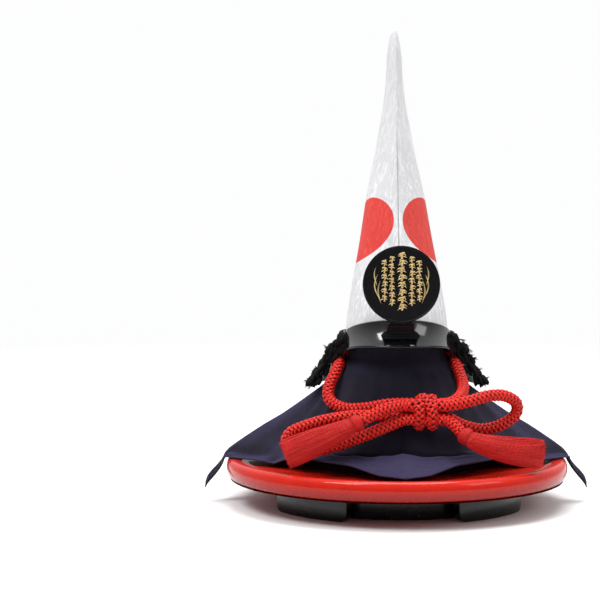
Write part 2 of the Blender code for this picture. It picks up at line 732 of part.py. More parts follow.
def guard_band(index: int, inner_off: float, outer_offs, top: float, low: float) -> bmesh.types.BMesh:
    """A curved band round the back: a plate or a row of lacing, whose outer offsets are given in turn."""
    span = LAME_SPAN - index * LAME_SPAN_STEP
    sections = []
    stations = len(outer_offs)
    for step, outer_off in enumerate(outer_offs):
        turn = math.pi + span * mix(-1, 1, step / (stations - 1))
        base = lame_offset(index)
        section = []
        for height, extra in ((top, outer_off), (low, outer_off), (low, inner_off), (top, inner_off)):
            lean = (lame_top(index) - height) * LAME_SLOPE
            section.append(guard_point(turn, height, base + lean + extra))
        sections.append(section)
    return loft(sections)


def add_neck_guard(plate_material, lacing_material) -> None:
    """Five lames that step outwards, each with a fluted row of upright lacing cords on its face."""
    for index in range(LAME_COUNT):
        top = lame_top(index)
        low = top - lame_height(index)
        plate = guard_band(index, 0.0, [LAME_WALL] * LAME_STATIONS, top, low)
        add_mesh(f"neck_lame_{index + 1}", plate, plate_material)
        inner = LAME_WALL + GAP
        peak = LAME_WALL + GAP + LACING_DEPTH - GAP
        groove = peak - LACING_GROOVE
        offsets = [peak if step % 2 else groove for step in range(LACING_FLUTES * 2 + 1)]
        row = guard_band(index, inner, offsets, top - LACING_HEM / 2, low + LACING_HEM)
        add_mesh(f"neck_lacing_{index + 1}", row, lacing_material, 20)


def smooth_curve(points, steps: int = 24) -> list[Vector]:
    """A smooth curve through the points, which leaves the first and reaches the last straight."""
    knots = [Vector(point) for point in points]
    knots = [knots[0] * 2 - knots[1]] + knots + [knots[-1] * 2 - knots[-2]]
    times = [0.0]
    for here, there in zip(knots, knots[1:]):
        times.append(times[-1] + math.sqrt((there - here).length))
    curve = []
    for index in range(1, len(knots) - 2):
        a, b, c, d = knots[index - 1: index + 3]
        ta, tb, tc, td = times[index - 1: index + 3]
        for step in range(steps):
            t = mix(tb, tc, step / steps)
            ab = a * ((tb - t) / (tb - ta)) + b * ((t - ta) / (tb - ta))
            bc = b * ((tc - t) / (tc - tb)) + c * ((t - tb) / (tc - tb))
            cd = c * ((td - t) / (td - tc)) + d * ((t - tc) / (td - tc))
            abc = ab * ((tc - t) / (tc - ta)) + bc * ((t - ta) / (tc - ta))
            bcd = bc * ((td - t) / (td - tb)) + cd * ((t - tb) / (td - tb))
            curve.append(abc * ((tc - t) / (tc - tb)) + bcd * ((t - tb) / (tc - tb)))
    curve.append(knots[-2].copy())
    return curve


def spaced_points(curve: list[Vector], spacing: float) -> list[Vector]:
    """Points at even distances along a curve, close to the spacing that is asked for."""
    distances = [0.0]
    for here, there in zip(curve, curve[1:]):
        distances.append(distances[-1] + (there - here).length)
    count = max(2, round(distances[-1] / spacing))
    points = []
    place = 0
    for step in range(count + 1):
        wanted = distances[-1] * step / count
        while place < len(curve) - 2 and distances[place + 1] < wanted:
            place += 1
        length = distances[place + 1] - distances[place]
        points.append(curve[place].lerp(curve[place + 1], (wanted - distances[place]) / length))
    return points


def add_cord(name: str, route, material) -> None:
    """A stretch of the cord as a plain tube along its route."""
    curve = smooth_curve(route)
    points = spaced_points(curve, CORD_DIAMETER * CORD_RING_SPACING)
    square_end = CORD_DIAMETER * CORD_END_SHARE
    points.insert(1, curve[0] + (curve[1] - curve[0]).normalized() * square_end)
    points.insert(-1, curve[-1] + (curve[-2] - curve[-1]).normalized() * square_end)
    data = bpy.data.curves.new(name, "CURVE")
    data.dimensions = "3D"
    data.bevel_depth = CORD_DIAMETER / 2
    data.bevel_resolution = 2
    data.use_fill_caps = True
    spline = data.splines.new("POLY")
    spline.points.add(len(points) - 1)
    for target, point in zip(spline.points, points):
        target.co = (*point, 1.0)
    data.materials.append(material)
    bpy.context.scene.collection.objects.link(bpy.data.objects.new(name, data))


def add_knot(material) -> None:
    """The bow's knot: two wraps side by side round the crossing of the cords."""
    rows = ((-1.0, 0.80), (-0.85, 0.94), (-0.5, 1.0), (0.0, 0.88), (0.5, 1.0), (0.85, 0.94), (1.0, 0.80))
    sides = 16
    sections = []
    for along, size in rows:
        ring = []
        for step in range(sides):
            angle = math.tau * step / sides
            ring.append(KNOT_CENTRE + Vector((
                along * KNOT_HALF_LENGTH,
                size * KNOT_HALF_DEPTH * math.cos(angle),
                size * KNOT_HALF_HEIGHT * math.sin(angle),
            )))
        sections.append(ring)
    add_mesh("bow_knot", loft(sections), material)


def add_tassel(name: str, route, end: Vector, material) -> None:
    """A tassel: a bound head and a skirt of fused locks that widens to its cut end."""
    # Share of the length, size of the head, and share of the skirt's full size
    rows = ((0.0, 0.80, 0.0), (0.05, 1.0, 0.0), (0.15, 1.0, 0.0), (0.19, 0.88, 0.10),
            (0.35, 1.0, 0.45), (0.60, 1.0, 0.75), (0.85, 1.0, 0.96), (1.0, 1.0, 1.0))
    last = Vector(route[-1])
    before = Vector(route[-2])
    start_way = (last - before).normalized()
    start = last + start_way * GAP
    way = end - start
    end = start + way.normalized() * TASSEL_LENGTH
    bend = start + start_way * TASSEL_LENGTH * 0.3
    sides = TASSEL_LOCKS * 2
    sections = []
    for along, head, skirt in rows:
        centre = start.lerp(bend, along).lerp(bend.lerp(end, along), along)
        tangent = ((bend - start) * (1 - along) + (end - bend) * along).normalized()
        flat = tangent.cross(Vector((0, 0, 1))).normalized()
        rise = flat.cross(tangent).normalized()
        ring = []
        for step in range(sides):
            angle = math.tau * step / sides
            lock = mix(1.0, 1.0 if step % 2 else 0.86, skirt)
            depth = mix(TASSEL_HEAD_RADIUS * head, TASSEL_HALF_DEPTH, skirt) * lock
            height = mix(TASSEL_HEAD_RADIUS * head, TASSEL_HALF_HEIGHT, skirt) * lock
            ring.append(centre + flat * math.cos(angle) * depth + rise * math.sin(angle) * height)
        sections.append(ring)
    add_mesh(name, loft(sections), material, 50)


def main() -> None:
    for old in list(bpy.data.objects):
        bpy.data.objects.remove(old, do_unlink=True)
    silver = make_material("silver leaf", (0.86, 0.86, 0.87), 0.35, 0.6)
    black_lacquer = make_material("black lacquer", (0.012, 0.012, 0.013), 0.15)
    vermilion = make_material("vermilion lacquer", (0.55, 0.03, 0.02), 0.12)
    black_cord = make_material("black lacing", (0.01, 0.01, 0.012), 0.8)
    red_cord = make_material("red silk cord", (0.62, 0.02, 0.015), 0.6)
    navy = make_material("navy cloth", (0.02, 0.02, 0.06), 0.85)
    board = make_material("core board", (0.25, 0.2, 0.15), 0.9)

    add_tray(vermilion)
    add_foot_ring(black_lacquer)
    for index in range(FOOT_COUNT):
        add_foot(f"tray_foot_{index + 1}", math.tau * (index + 0.5) / FOOT_COUNT, black_lacquer)
    add_core(board)
    add_cloth(navy)
    add_cap(silver)
    add_visor(black_lacquer)
    add_disc(black_lacquer)
    add_holder(black_lacquer)
    add_neck_guard(black_lacquer, black_cord)
    add_cord("cord_chin_left", CHIN_LEFT, red_cord)
    add_cord("cord_chin_right", CHIN_RIGHT, red_cord)
    add_cord("cord_loop_left", LOOP_LEFT, red_cord)
    add_cord("cord_loop_right", LOOP_RIGHT, red_cord)
    add_cord("cord_tail_left", TAIL_LEFT, red_cord)
    add_cord("cord_tail_right", TAIL_RIGHT, red_cord)
    add_knot(red_cord)
    add_tassel("tassel_left", TAIL_LEFT, TASSEL_LEFT_END, red_cord)
    add_tassel("tassel_right", TAIL_RIGHT, TASSEL_RIGHT_END, red_cord)


main()
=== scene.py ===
"""Dressed scene of a kabuto helmet on its lacquered display stand.

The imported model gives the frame. Each class builds one sub-assembly on the model's sizes, finer and with its
real finish. Lengths are in metres, +Z is up and the helmet faces -Y.
"""

import logging
import math
import random
from dataclasses import dataclass
from enum import Enum
from itertools import accumulate
from typing import Any, NamedTuple, Sequence

import bmesh
import bpy
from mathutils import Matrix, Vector, noise
from mathutils.kdtree import KDTree


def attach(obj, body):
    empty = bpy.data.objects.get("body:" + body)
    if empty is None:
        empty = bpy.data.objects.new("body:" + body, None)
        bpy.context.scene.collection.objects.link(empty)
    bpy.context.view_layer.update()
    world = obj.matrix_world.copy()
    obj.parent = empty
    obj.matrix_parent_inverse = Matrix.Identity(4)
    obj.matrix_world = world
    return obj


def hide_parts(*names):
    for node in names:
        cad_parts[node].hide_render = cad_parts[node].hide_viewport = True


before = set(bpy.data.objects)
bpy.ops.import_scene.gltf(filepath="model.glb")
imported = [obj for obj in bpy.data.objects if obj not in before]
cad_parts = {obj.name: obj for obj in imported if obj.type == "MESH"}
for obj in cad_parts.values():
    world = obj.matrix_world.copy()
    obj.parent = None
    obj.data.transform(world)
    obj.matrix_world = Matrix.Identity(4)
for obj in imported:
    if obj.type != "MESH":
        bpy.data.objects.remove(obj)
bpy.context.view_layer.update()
LOG = logging.getLogger("kabuto")

BMesh = bmesh.types.BMesh
Material = bpy.types.Material
Mesh = bpy.types.Mesh
Node = bpy.types.Node
Object = bpy.types.Object
Tree = bpy.types.NodeTree
Colour = tuple[float, float, float]
Point = tuple[float, float, float]
Route = tuple[Point, ...]
Sizes = tuple[float, float, float, float]

GAP = 0.0003
TRAY_TOP = 0.0405
CORE_SEAT = 0.0368
CORE_TOP = 0.198
BRIM = 0.146
WAIST = 0.130
X, Y, Z = (Vector(axis) for axis in ((1, 0, 0), (0, 1, 0), (0, 0, 1)))


class CapRow(NamedTuple):
    """One section of the cap, as shares of its height, half width and depth."""

    rise: float
    half_width: float
    front: float
    middle: float
    back: float


class DrapeRow(NamedTuple):
    """One row of the cloth below the waist, as shares of the fall and of the reach outwards."""

    side_fall: float
    side_reach: float
    front_fall: float
    front_reach: float
    edge_fall: float
    edge_reach: float


class Spin(Enum):
    """The way in which a strand winds round its cord."""

    WITH_CLOCK = 1
    AGAINST_CLOCK = -1


class Side(Enum):
    """A side of the helmet as it is seen from the front."""

    LEFT = -1
    RIGHT = 1


CAP_ROWS = (
    CapRow(0.000, 1.000, -0.491, -0.036, 0.509), CapRow(0.058, 0.973, -0.482, -0.027, 0.509),
    CapRow(0.139, 0.900, -0.436, -0.009, 0.500), CapRow(0.215, 0.820, -0.373, 0.027, 0.500),
    CapRow(0.292, 0.733, -0.309, 0.082, 0.518), CapRow(0.369, 0.656, -0.245, 0.145, 0.545),
    CapRow(0.449, 0.578, -0.182, 0.209, 0.573), CapRow(0.526, 0.480, -0.118, 0.264, 0.600),
    CapRow(0.602, 0.384, -0.055, 0.309, 0.618), CapRow(0.679, 0.302, 0.009, 0.355, 0.636),
    CapRow(0.755, 0.222, 0.073, 0.391, 0.645), CapRow(0.836, 0.169, 0.136, 0.418, 0.645),
    CapRow(0.912, 0.147, 0.209, 0.436, 0.618), CapRow(0.964, 0.102, 0.282, 0.445, 0.573),
    CapRow(0.993, 0.049, 0.364, 0.445, 0.518), CapRow(1.000, 0.012, 0.430, 0.448, 0.466),
)

DRAPE_ROWS = (
    DrapeRow(0.144, 0.095, 0.170, 0.100, 0.170, 0.170), DrapeRow(0.229, 0.180, 0.340, 0.175, 0.350, 0.300),
    DrapeRow(0.322, 0.298, 0.500, 0.230, 0.520, 0.430), DrapeRow(0.441, 0.460, 0.650, 0.300, 0.690, 0.570),
    DrapeRow(0.530, 0.600, 0.770, 0.360, 0.830, 0.700), DrapeRow(0.661, 0.782, 0.862, 0.415, 0.882, 0.790),
    DrapeRow(0.729, 0.855, 0.888, 0.580, 0.942, 0.876), DrapeRow(0.847, 0.919, 0.930, 0.800, 0.986, 0.950),
    DrapeRow(1.000, 1.000, 1.000, 1.000, 1.000, 1.000),
)

BEHIND_CORE: Route = (
    (0.0002, 0.0534, 0.1262), (0.0070, 0.0534, 0.1262), (0.0240, 0.0500, 0.1262), (0.0400, 0.0385, 0.1260),
    (0.0495, 0.0225, 0.1262), (0.0525, 0.0020, 0.1262), (0.0510, -0.0180, 0.1240),
)
CHIN_LEFT: Route = tuple((-x, y, z) for x, y, z in BEHIND_CORE) + (
    (-0.0545, -0.0290, 0.1165), (-0.0600, -0.0370, 0.1060), (-0.0600, -0.0440, 0.0960),
    (-0.0480, -0.0560, 0.0895), (-0.0300, -0.0660, 0.0905), (-0.0120, -0.0735, 0.0945),
    (0.0010, -0.0745, 0.0952), (0.0077, -0.0745, 0.0952),
)
LOOP_LEFT: Route = (
    (0.0077, -0.0745, 0.0832), (0.0020, -0.0745, 0.0832), (-0.0150, -0.0800, 0.0855),
    (-0.0390, -0.0830, 0.0860), (-0.0640, -0.0800, 0.0820), (-0.0800, -0.0745, 0.0765),
    (-0.0930, -0.0700, 0.0700), (-0.0965, -0.0700, 0.0625), (-0.0870, -0.0755, 0.0570),
    (-0.0700, -0.0815, 0.0570), (-0.0520, -0.0870, 0.0625), (-0.0300, -0.0900, 0.0710),
    (-0.0120, -0.0880, 0.0780), (0.0020, -0.0855, 0.0832), (0.0077, -0.0855, 0.0832),
)
TAIL_LEFT: Route = (
    (0.0077, -0.0855, 0.0952), (0.0020, -0.0855, 0.0952), (-0.0130, -0.0925, 0.0935),
    (-0.0260, -0.0975, 0.0880), (-0.0340, -0.1000, 0.0840),
)
CHIN_RIGHT: Route = BEHIND_CORE + (
    (0.0530, -0.0290, 0.1165), (0.0550, -0.0400, 0.1085), (0.0530, -0.0530, 0.1020),
    (0.0465, -0.0680, 0.0975), (0.0385, -0.0745, 0.0952), (0.0323, -0.0745, 0.0952),
)
LOOP_RIGHT: Route = (
    (0.0323, -0.0855, 0.0952), (0.0390, -0.0855, 0.0952), (0.0560, -0.0845, 0.0985),
    (0.0740, -0.0780, 0.1024), (0.0890, -0.0700, 0.1010), (0.0985, -0.0640, 0.0940),
    (0.0980, -0.0630, 0.0860), (0.0880, -0.0660, 0.0780), (0.0700, -0.0710, 0.0732),
    (0.0530, -0.0735, 0.0765), (0.0390, -0.0745, 0.0832), (0.0323, -0.0745, 0.0832),
)
TAIL_RIGHT: Route = (
    (0.0323, -0.0855, 0.0832), (0.0370, -0.0855, 0.0832), (0.0440, -0.0915, 0.0785),
    (0.0490, -0.0965, 0.0735),
)


# Curves and sections


def mix(start: Any, end: Any, share: float) -> Any:
    """The number or vector that lies this share of the way from start to end."""
    return start + (end - start) * share


def smooth_step(share: float) -> float:
    """A share from 0 to 1 that leaves and arrives level."""
    share = min(1.0, max(0.0, share))
    return share * share * (3 - 2 * share)


def smooth_value(values: Sequence[Any], place: float) -> Any:
    """The number or vector at a place on the smooth curve through evenly placed ones."""
    last = len(values) - 1
    low = min(last - 1, max(0, int(place)))
    t = place - low
    a, b, c, d = (values[min(last, max(0, low + step))] for step in (-1, 0, 1, 2))
    return (b * 2 + (c - a) * t + (a * 2 - b * 5 + c * 4 - d) * t**2 + (b * 3 - a - c * 3 + d) * t**3) * 0.5


def timed_point(first: Vector, second: Vector, low: float, high: float, time: float) -> Vector:
    """The point at a time on the line that passes one point at low and another at high."""
    return first * ((high - time) / (high - low)) + second * ((time - low) / (high - low))


def smooth_curve(route: Sequence[Sequence[float]], steps: int = 24) -> list[Vector]:
    """A smooth curve through a route's points, straight at both ends.

    Args:
        route: The points.
        steps: Points made between each two of them.

    Returns:
        The curve.
    """
    knots = [Vector(point) for point in route]
    knots = [knots[0] * 2 - knots[1], *knots, knots[-1] * 2 - knots[-2]]
    gaps = (math.sqrt((there - here).length) for here, there in zip(knots, knots[1:]))
    times = list(accumulate(gaps, initial=0.0))
    curve = []
    for index in range(1, len(knots) - 2):
        a, b, c, d = knots[index - 1: index + 3]
        ta, tb, tc, td = times[index - 1: index + 3]
        for step in range(steps):
            t = mix(tb, tc, step / steps)
            bc = timed_point(b, c, tb, tc, t)
            abc = timed_point(timed_point(a, b, ta, tb, t), bc, ta, tc, t)
            bcd = timed_point(bc, timed_point(c, d, tc, td, t), tb, td, t)
            curve.append(timed_point(abc, bcd, tb, tc, t))
    return [*curve, knots[-2].copy()]


def distances(points: Sequence[Vector]) -> list[float]:
    """How far along a line each of its points lies."""
    return list(accumulate(((there - here).length for here, there in zip(points, points[1:])), initial=0.0))


def spaced_points(curve: Sequence[Vector], spacing: float) -> list[Vector]:
    """Points at even distances along a curve, both ends included, as close to the spacing as can be."""
    run = distances(curve)
    count = max(2, round(run[-1] / spacing))
    points = []
    place = 0
    for step in range(count + 1):
        wanted = run[-1] * step / count
        while place < len(curve) - 2 and run[place + 1] < wanted:
            place += 1
        length = max(1e-9, run[place + 1] - run[place])
        points.append(curve[place].lerp(curve[place + 1], (wanted - run[place]) / length))
    return points


class Ring(NamedTuple):
    """A place with two directions across it."""

    centre: Vector
    across: Vector
    up: Vector

    def at(self, angle: float, across: float, up: float) -> Vector:
        """The point at an angle of the oval with these half sizes."""
        return self.centre + self.across * (math.cos(angle) * across) + self.up * (math.sin(angle) * up)

    def oval(self, sides: int, across: float, up: float) -> list[Vector]:
        """The points of the whole oval."""
        return [self.at(math.tau * side / sides, across, up) for side in range(sides)]


def rings_along(points: Sequence[Vector], up: Vector) -> list[Ring]:
    """A ring for each point of a line, which starts with this direction up and doesn't twist."""
    rings = []
    for index, point in enumerate(points):
        along = (points[min(len(points) - 1, index + 1)] - points[max(0, index - 1)]).normalized()
        up = (up - along * up.dot(along)).normalized()
        rings.append(Ring(point, along.cross(up), up))
    return rings


@dataclass
class CapShape:
    """The tall cap's sections, which the visor, the neck guard, the core and the cloth follow."""

    height: float = 0.274
    half_width: float = 0.045
    depth: float = 0.110
    ridge_start: float = 0.075
    ridge_full: float = 0.30
    back_sharpness: float = 0.45
    ridge_round: float = 0.028
    tip_half_width: float = 0.0004
    steps: int = 12

    def __post_init__(self) -> None:
        """Makes the table of heights and sizes from the rows, on smooth curves."""
        self.table: list[tuple[float, Sizes]] = []
        columns = list(zip(*CAP_ROWS))
        for step in range((len(CAP_ROWS) - 1) * self.steps + 1):
            rise, width, *lengths = (smooth_value(column, step / self.steps) for column in columns)
            half_width = max(self.tip_half_width, width * self.half_width)
            self.table.append((BRIM + rise * self.height, (half_width, *(v * self.depth for v in lengths))))

    def sizes(self, height: float) -> Sizes:
        """Half width, front, middle and back at a height above the floor."""
        height = max(height, BRIM)
        for (low, small), (high, large) in zip(self.table, self.table[1:]):
            if height <= high:
                share = (height - low) / max(1e-9, high - low)
                return tuple(mix(a, b, share) for a, b in zip(small, large))
        return self.table[-1][1]

    def sharpness(self, height: float) -> float:
        """How sharp the ridges are at a height, from 0 to 1."""
        rise = (height - BRIM) / self.height
        return smooth_step((rise - self.ridge_start) / (self.ridge_full - self.ridge_start))

    def point(self, sizes: Sizes, height: float, turn: float, sharpness: float = 0.0) -> Vector:
        """A point of a level section.

        Args:
            sizes: Half width, front, middle and back.
            height: Height above the floor.
            turn: 0 at the front, a quarter turn at +X and a half turn at the back.
            sharpness: 0 for an oval and 1 for a ridge at the front.

        Returns:
            The point.
        """
        half_width, front, middle, back = sizes
        turn = math.remainder(turn, math.tau)
        ahead = abs(turn) <= math.pi / 2
        from_ridge = abs(turn) if ahead else math.pi - abs(turn)
        ridged = 1 - (math.hypot(from_ridge, self.ridge_round) - self.ridge_round) / (math.pi / 2)
        share = mix(abs(math.cos(turn)), ridged, sharpness * (1.0 if ahead else self.back_sharpness))
        return Vector((half_width * math.sin(turn), mix(middle, front if ahead else back, share), height))

    def outward(self, sizes: Sizes, turn: float) -> Vector:
        """The level direction away from an oval section."""
        half_width, front, middle, back = sizes
        reach = middle - front if math.cos(turn) > 0 else back - middle
        return Vector((math.sin(turn) / half_width, -math.cos(turn) / reach, 0)).normalized()


CAP = CapShape()


# Meshes


def loft(rows: Sequence[Sequence[Vector]], caps: Sequence[int] = (0, -1),
         uvs: Sequence[Sequence[Sequence[float]]] | None = None) -> BMesh:
    """Joins closed rows of points with faces.

    Args:
        rows: Rows with the same number of points.
        caps: The rows to fill.
        uvs: A place on the flat pattern for each point, with one more a row.

    Returns:
        The mesh, with its faces outwards where it is closed.
    """
    mesh = bmesh.new()
    layer = mesh.loops.layers.uv.new("UVMap")
    loops = [[mesh.verts.new(point) for point in row] for row in rows]
    count = len(rows[0])
    for r, (here, there) in enumerate(zip(loops, loops[1:])):
        for c in range(count):
            after = (c + 1) % count
            face = mesh.faces.new((here[c], here[after], there[after], there[c]))
            for corner, (row, column) in zip(face.loops, ((r, c), (r, c + 1), (r + 1, c + 1), (r + 1, c))):
                corner[layer].uv = uvs[row][column] if uvs else (column / count, row / len(rows))
    for row in caps:
        mesh.faces.new(loops[row])
    bmesh.ops.recalc_face_normals(mesh, faces=mesh.faces)
    return mesh


def plain_mesh(name: str, mesh: BMesh) -> Mesh:
    """Turns a bmesh, which is used up, into a plain mesh."""
    data = bpy.data.meshes.new(name)
    mesh.to_mesh(data)
    mesh.free()
    return data


def absorb(whole: BMesh, part: BMesh) -> None:
    """Moves one mesh into another."""
    data = plain_mesh("part", part)
    whole.from_mesh(data)
    bpy.data.meshes.remove(data)


def add_object(name: str, data: Any) -> Object:
    """Adds an object to the scene."""
    obj = bpy.data.objects.new(name, data)
    bpy.context.scene.collection.objects.link(obj)
    return obj


def add_piece(name: str, mesh: BMesh | Mesh, material: Material, replaced: Sequence[str] = (),
              sharp_angle: float | None = None) -> Object:
    """Adds a finished mesh to the scene as a piece that rides on the root body.

    Args:
        name: The piece's name.
        mesh: The mesh, which is used up.
        material: Its finish.
        replaced: The model's nodes that it stands for.
        sharp_angle: Edges sharper than this, in degrees, stay sharp.

    Returns:
        The object.
    """
    data = plain_mesh(name, mesh) if isinstance(mesh, BMesh) else mesh
    data.name = name
    data.shade_smooth()
    if sharp_angle is not None:
        data.set_sharp_from_angle(angle=math.radians(sharp_angle))
    data.materials.clear()
    data.materials.append(material)
    obj = add_object(name, data)
    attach(obj, "root")
    if replaced:
        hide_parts(*replaced)
    LOG.info("%s: %d faces", name, len(data.polygons))
    return obj


def line_mesh(chains: Sequence[Sequence[Vector]], closed: bool = False,
              **attributes: Sequence[Sequence[Any]]) -> Object:
    """An object of plain lines, which Geometry Nodes turn into strands or rows.

    Args:
        chains: The lines' points.
        closed: True where each line is a loop.
        **attributes: For each point, a number or a vector under each name.

    Returns:
        The object.
    """
    data = bpy.data.meshes.new("lines")
    points, edges = [], []
    for chain in chains:
        base = len(points)
        points.extend(chain)
        edges.extend((base + step, base + step + 1) for step in range(len(chain) - 1))
        if closed:
            edges.append((base + len(chain) - 1, base))
    data.from_pydata(points, edges, [])
    for name, values in attributes.items():
        flat = [value for chain in values for value in chain]
        if isinstance(flat[0], Vector):
            numbers = [number for value in flat for number in value]
            data.attributes.new(name, "FLOAT_VECTOR", "POINT").data.foreach_set("vector", numbers)
        else:
            data.attributes.new(name, "FLOAT", "POINT").data.foreach_set("value", flat)
    return add_object("lines", data)


# Node trees


class Value:
    """A socket of a node tree. Sums with it add Math nodes."""

    def __init__(self, sketch: "Sketch", socket: bpy.types.NodeSocket) -> None:
        """Keeps the socket and the sketch that it belongs to."""
        self.sketch, self.socket = sketch, socket

    def __add__(self, other: Any) -> "Value":
        """The sum with another value or a number."""
        return self.sketch.math("ADD", self, other)

    def __sub__(self, other: Any) -> "Value":
        """This value less another or a number."""
        return self.sketch.math("SUBTRACT", self, other)

    def __rsub__(self, other: float) -> "Value":
        """A number less this value."""
        return self.sketch.math("SUBTRACT", other, self)

    def __mul__(self, other: Any) -> "Value":
        """The product with another value or a number."""
        return self.sketch.math("MULTIPLY", self, other)

    def __abs__(self) -> "Value":
        """The value without its sign."""
        return self.sketch.math("ABSOLUTE", self)


class Sketch:
    """Adds nodes to a tree and joins them."""

    def __init__(self, tree: Tree) -> None:
        """Keeps the tree to draw in."""
        self.tree = tree

    def plug(self, socket: bpy.types.NodeSocket, value: Any) -> None:
        """Joins a value to a socket, or sets the socket's own number or colour."""
        if isinstance(value, Value):
            self.tree.links.new(value.socket, socket)
        else:
            socket.default_value = (*value, 1.0) if socket.type == "RGBA" else value

    def node(self, kind: str, inputs: dict[Any, Any] | None = None, **settings: Any) -> Node:
        """Adds a node, with its inputs by name or number and its own options."""
        node = self.tree.nodes.new(kind)
        for name, value in settings.items():
            setattr(node, name, value)
        for key, value in (inputs or {}).items():
            self.plug(node.inputs[key], value)
        return node

    def read(self, kind: str, inputs: dict[Any, Any] | None = None, output: Any = 0,
             **settings: Any) -> Value:
        """Adds a node and reads one of its outputs."""
        return Value(self, self.node(kind, inputs, **settings).outputs[output])

    def math(self, operation: str, *values: Any) -> Value:
        """A Math node's result."""
        return self.read("ShaderNodeMath", dict(enumerate(values)), operation=operation)

    def split(self, vector: Value) -> list[Value]:
        """The three parts of a vector."""
        return [Value(self, part) for part in self.node("ShaderNodeSeparateXYZ", {0: vector}).outputs]

    def scaled(self, vector: Value, factor: Value) -> Value:
        """A vector or colour times another."""
        return self.read("ShaderNodeVectorMath", {0: vector, 1: factor}, operation="MULTIPLY")

    def blend(self, share: Value, first: Any, second: Any) -> Value:
        """A colour between two."""
        return self.read("ShaderNodeMix", {0: share, 6: first, 7: second}, 2, data_type="RGBA")

    def span(self, value: Value, low: float, high: float, to_low: float = 0.0,
             to_high: float = 1.0) -> Value:
        """Maps a value smoothly from one range to another."""
        return self.read("ShaderNodeMapRange", {0: value, 1: low, 2: high, 3: to_low, 4: to_high},
                         interpolation_type="SMOOTHSTEP")

    def noise(self, vector: Value, scale: Any, detail: float = 3.0, roughness: float = 0.5,
              distortion: float = 0.0) -> Value:
        """A noise value."""
        return self.read("ShaderNodeTexNoise", {"Vector": vector, "Scale": scale, "Detail": detail,
                                                "Roughness": roughness, "Distortion": distortion})

    def streaks(self, vector: Value, scale: Point, detail: float, roughness: float = 0.5) -> Value:
        """Noise stretched along an axis."""
        return self.noise(self.read("ShaderNodeMapping", {"Vector": vector, "Scale": scale}), 1.0, detail,
                          roughness)

    def group(self, tree: Tree, **inputs: Any) -> dict[str, Value]:
        """Adds a node group with these inputs and returns its outputs by name."""
        node = self.node("ShaderNodeGroup", inputs, node_tree=tree)
        return {socket.name: Value(self, socket) for socket in node.outputs}


class Group(Sketch):
    """A node group under way."""

    def __init__(self, name: str, kind: str, inputs: dict[str, Any], outputs: Sequence[str]) -> None:
        """Starts the group.

        Args:
            name: Its name.
            kind: The tree's type.
            inputs: For each input its number or its kind of socket.
            outputs: The outputs' names, each with its kind of socket after a colon.
        """
        super().__init__(bpy.data.node_groups.new(name, kind))
        ends = dict(output.split(":") for output in outputs)
        for way, ports in (("INPUT", inputs), ("OUTPUT", ends)):
            for port, value in ports.items():
                word = value if isinstance(value, str) else {float: "Float", int: "Int"}[type(value)]
                socket = self.tree.interface.new_socket(name=port, in_out=way,
                                                        socket_type="NodeSocket" + word)
                if word != value:
                    socket.default_value = value
        self.given = {socket.name: Value(self, socket) for socket in self.node("NodeGroupInput").outputs}

    def end(self, **values: Value) -> Tree:
        """Joins the outputs and returns the group's tree."""
        self.node("NodeGroupOutput", values)
        return self.tree


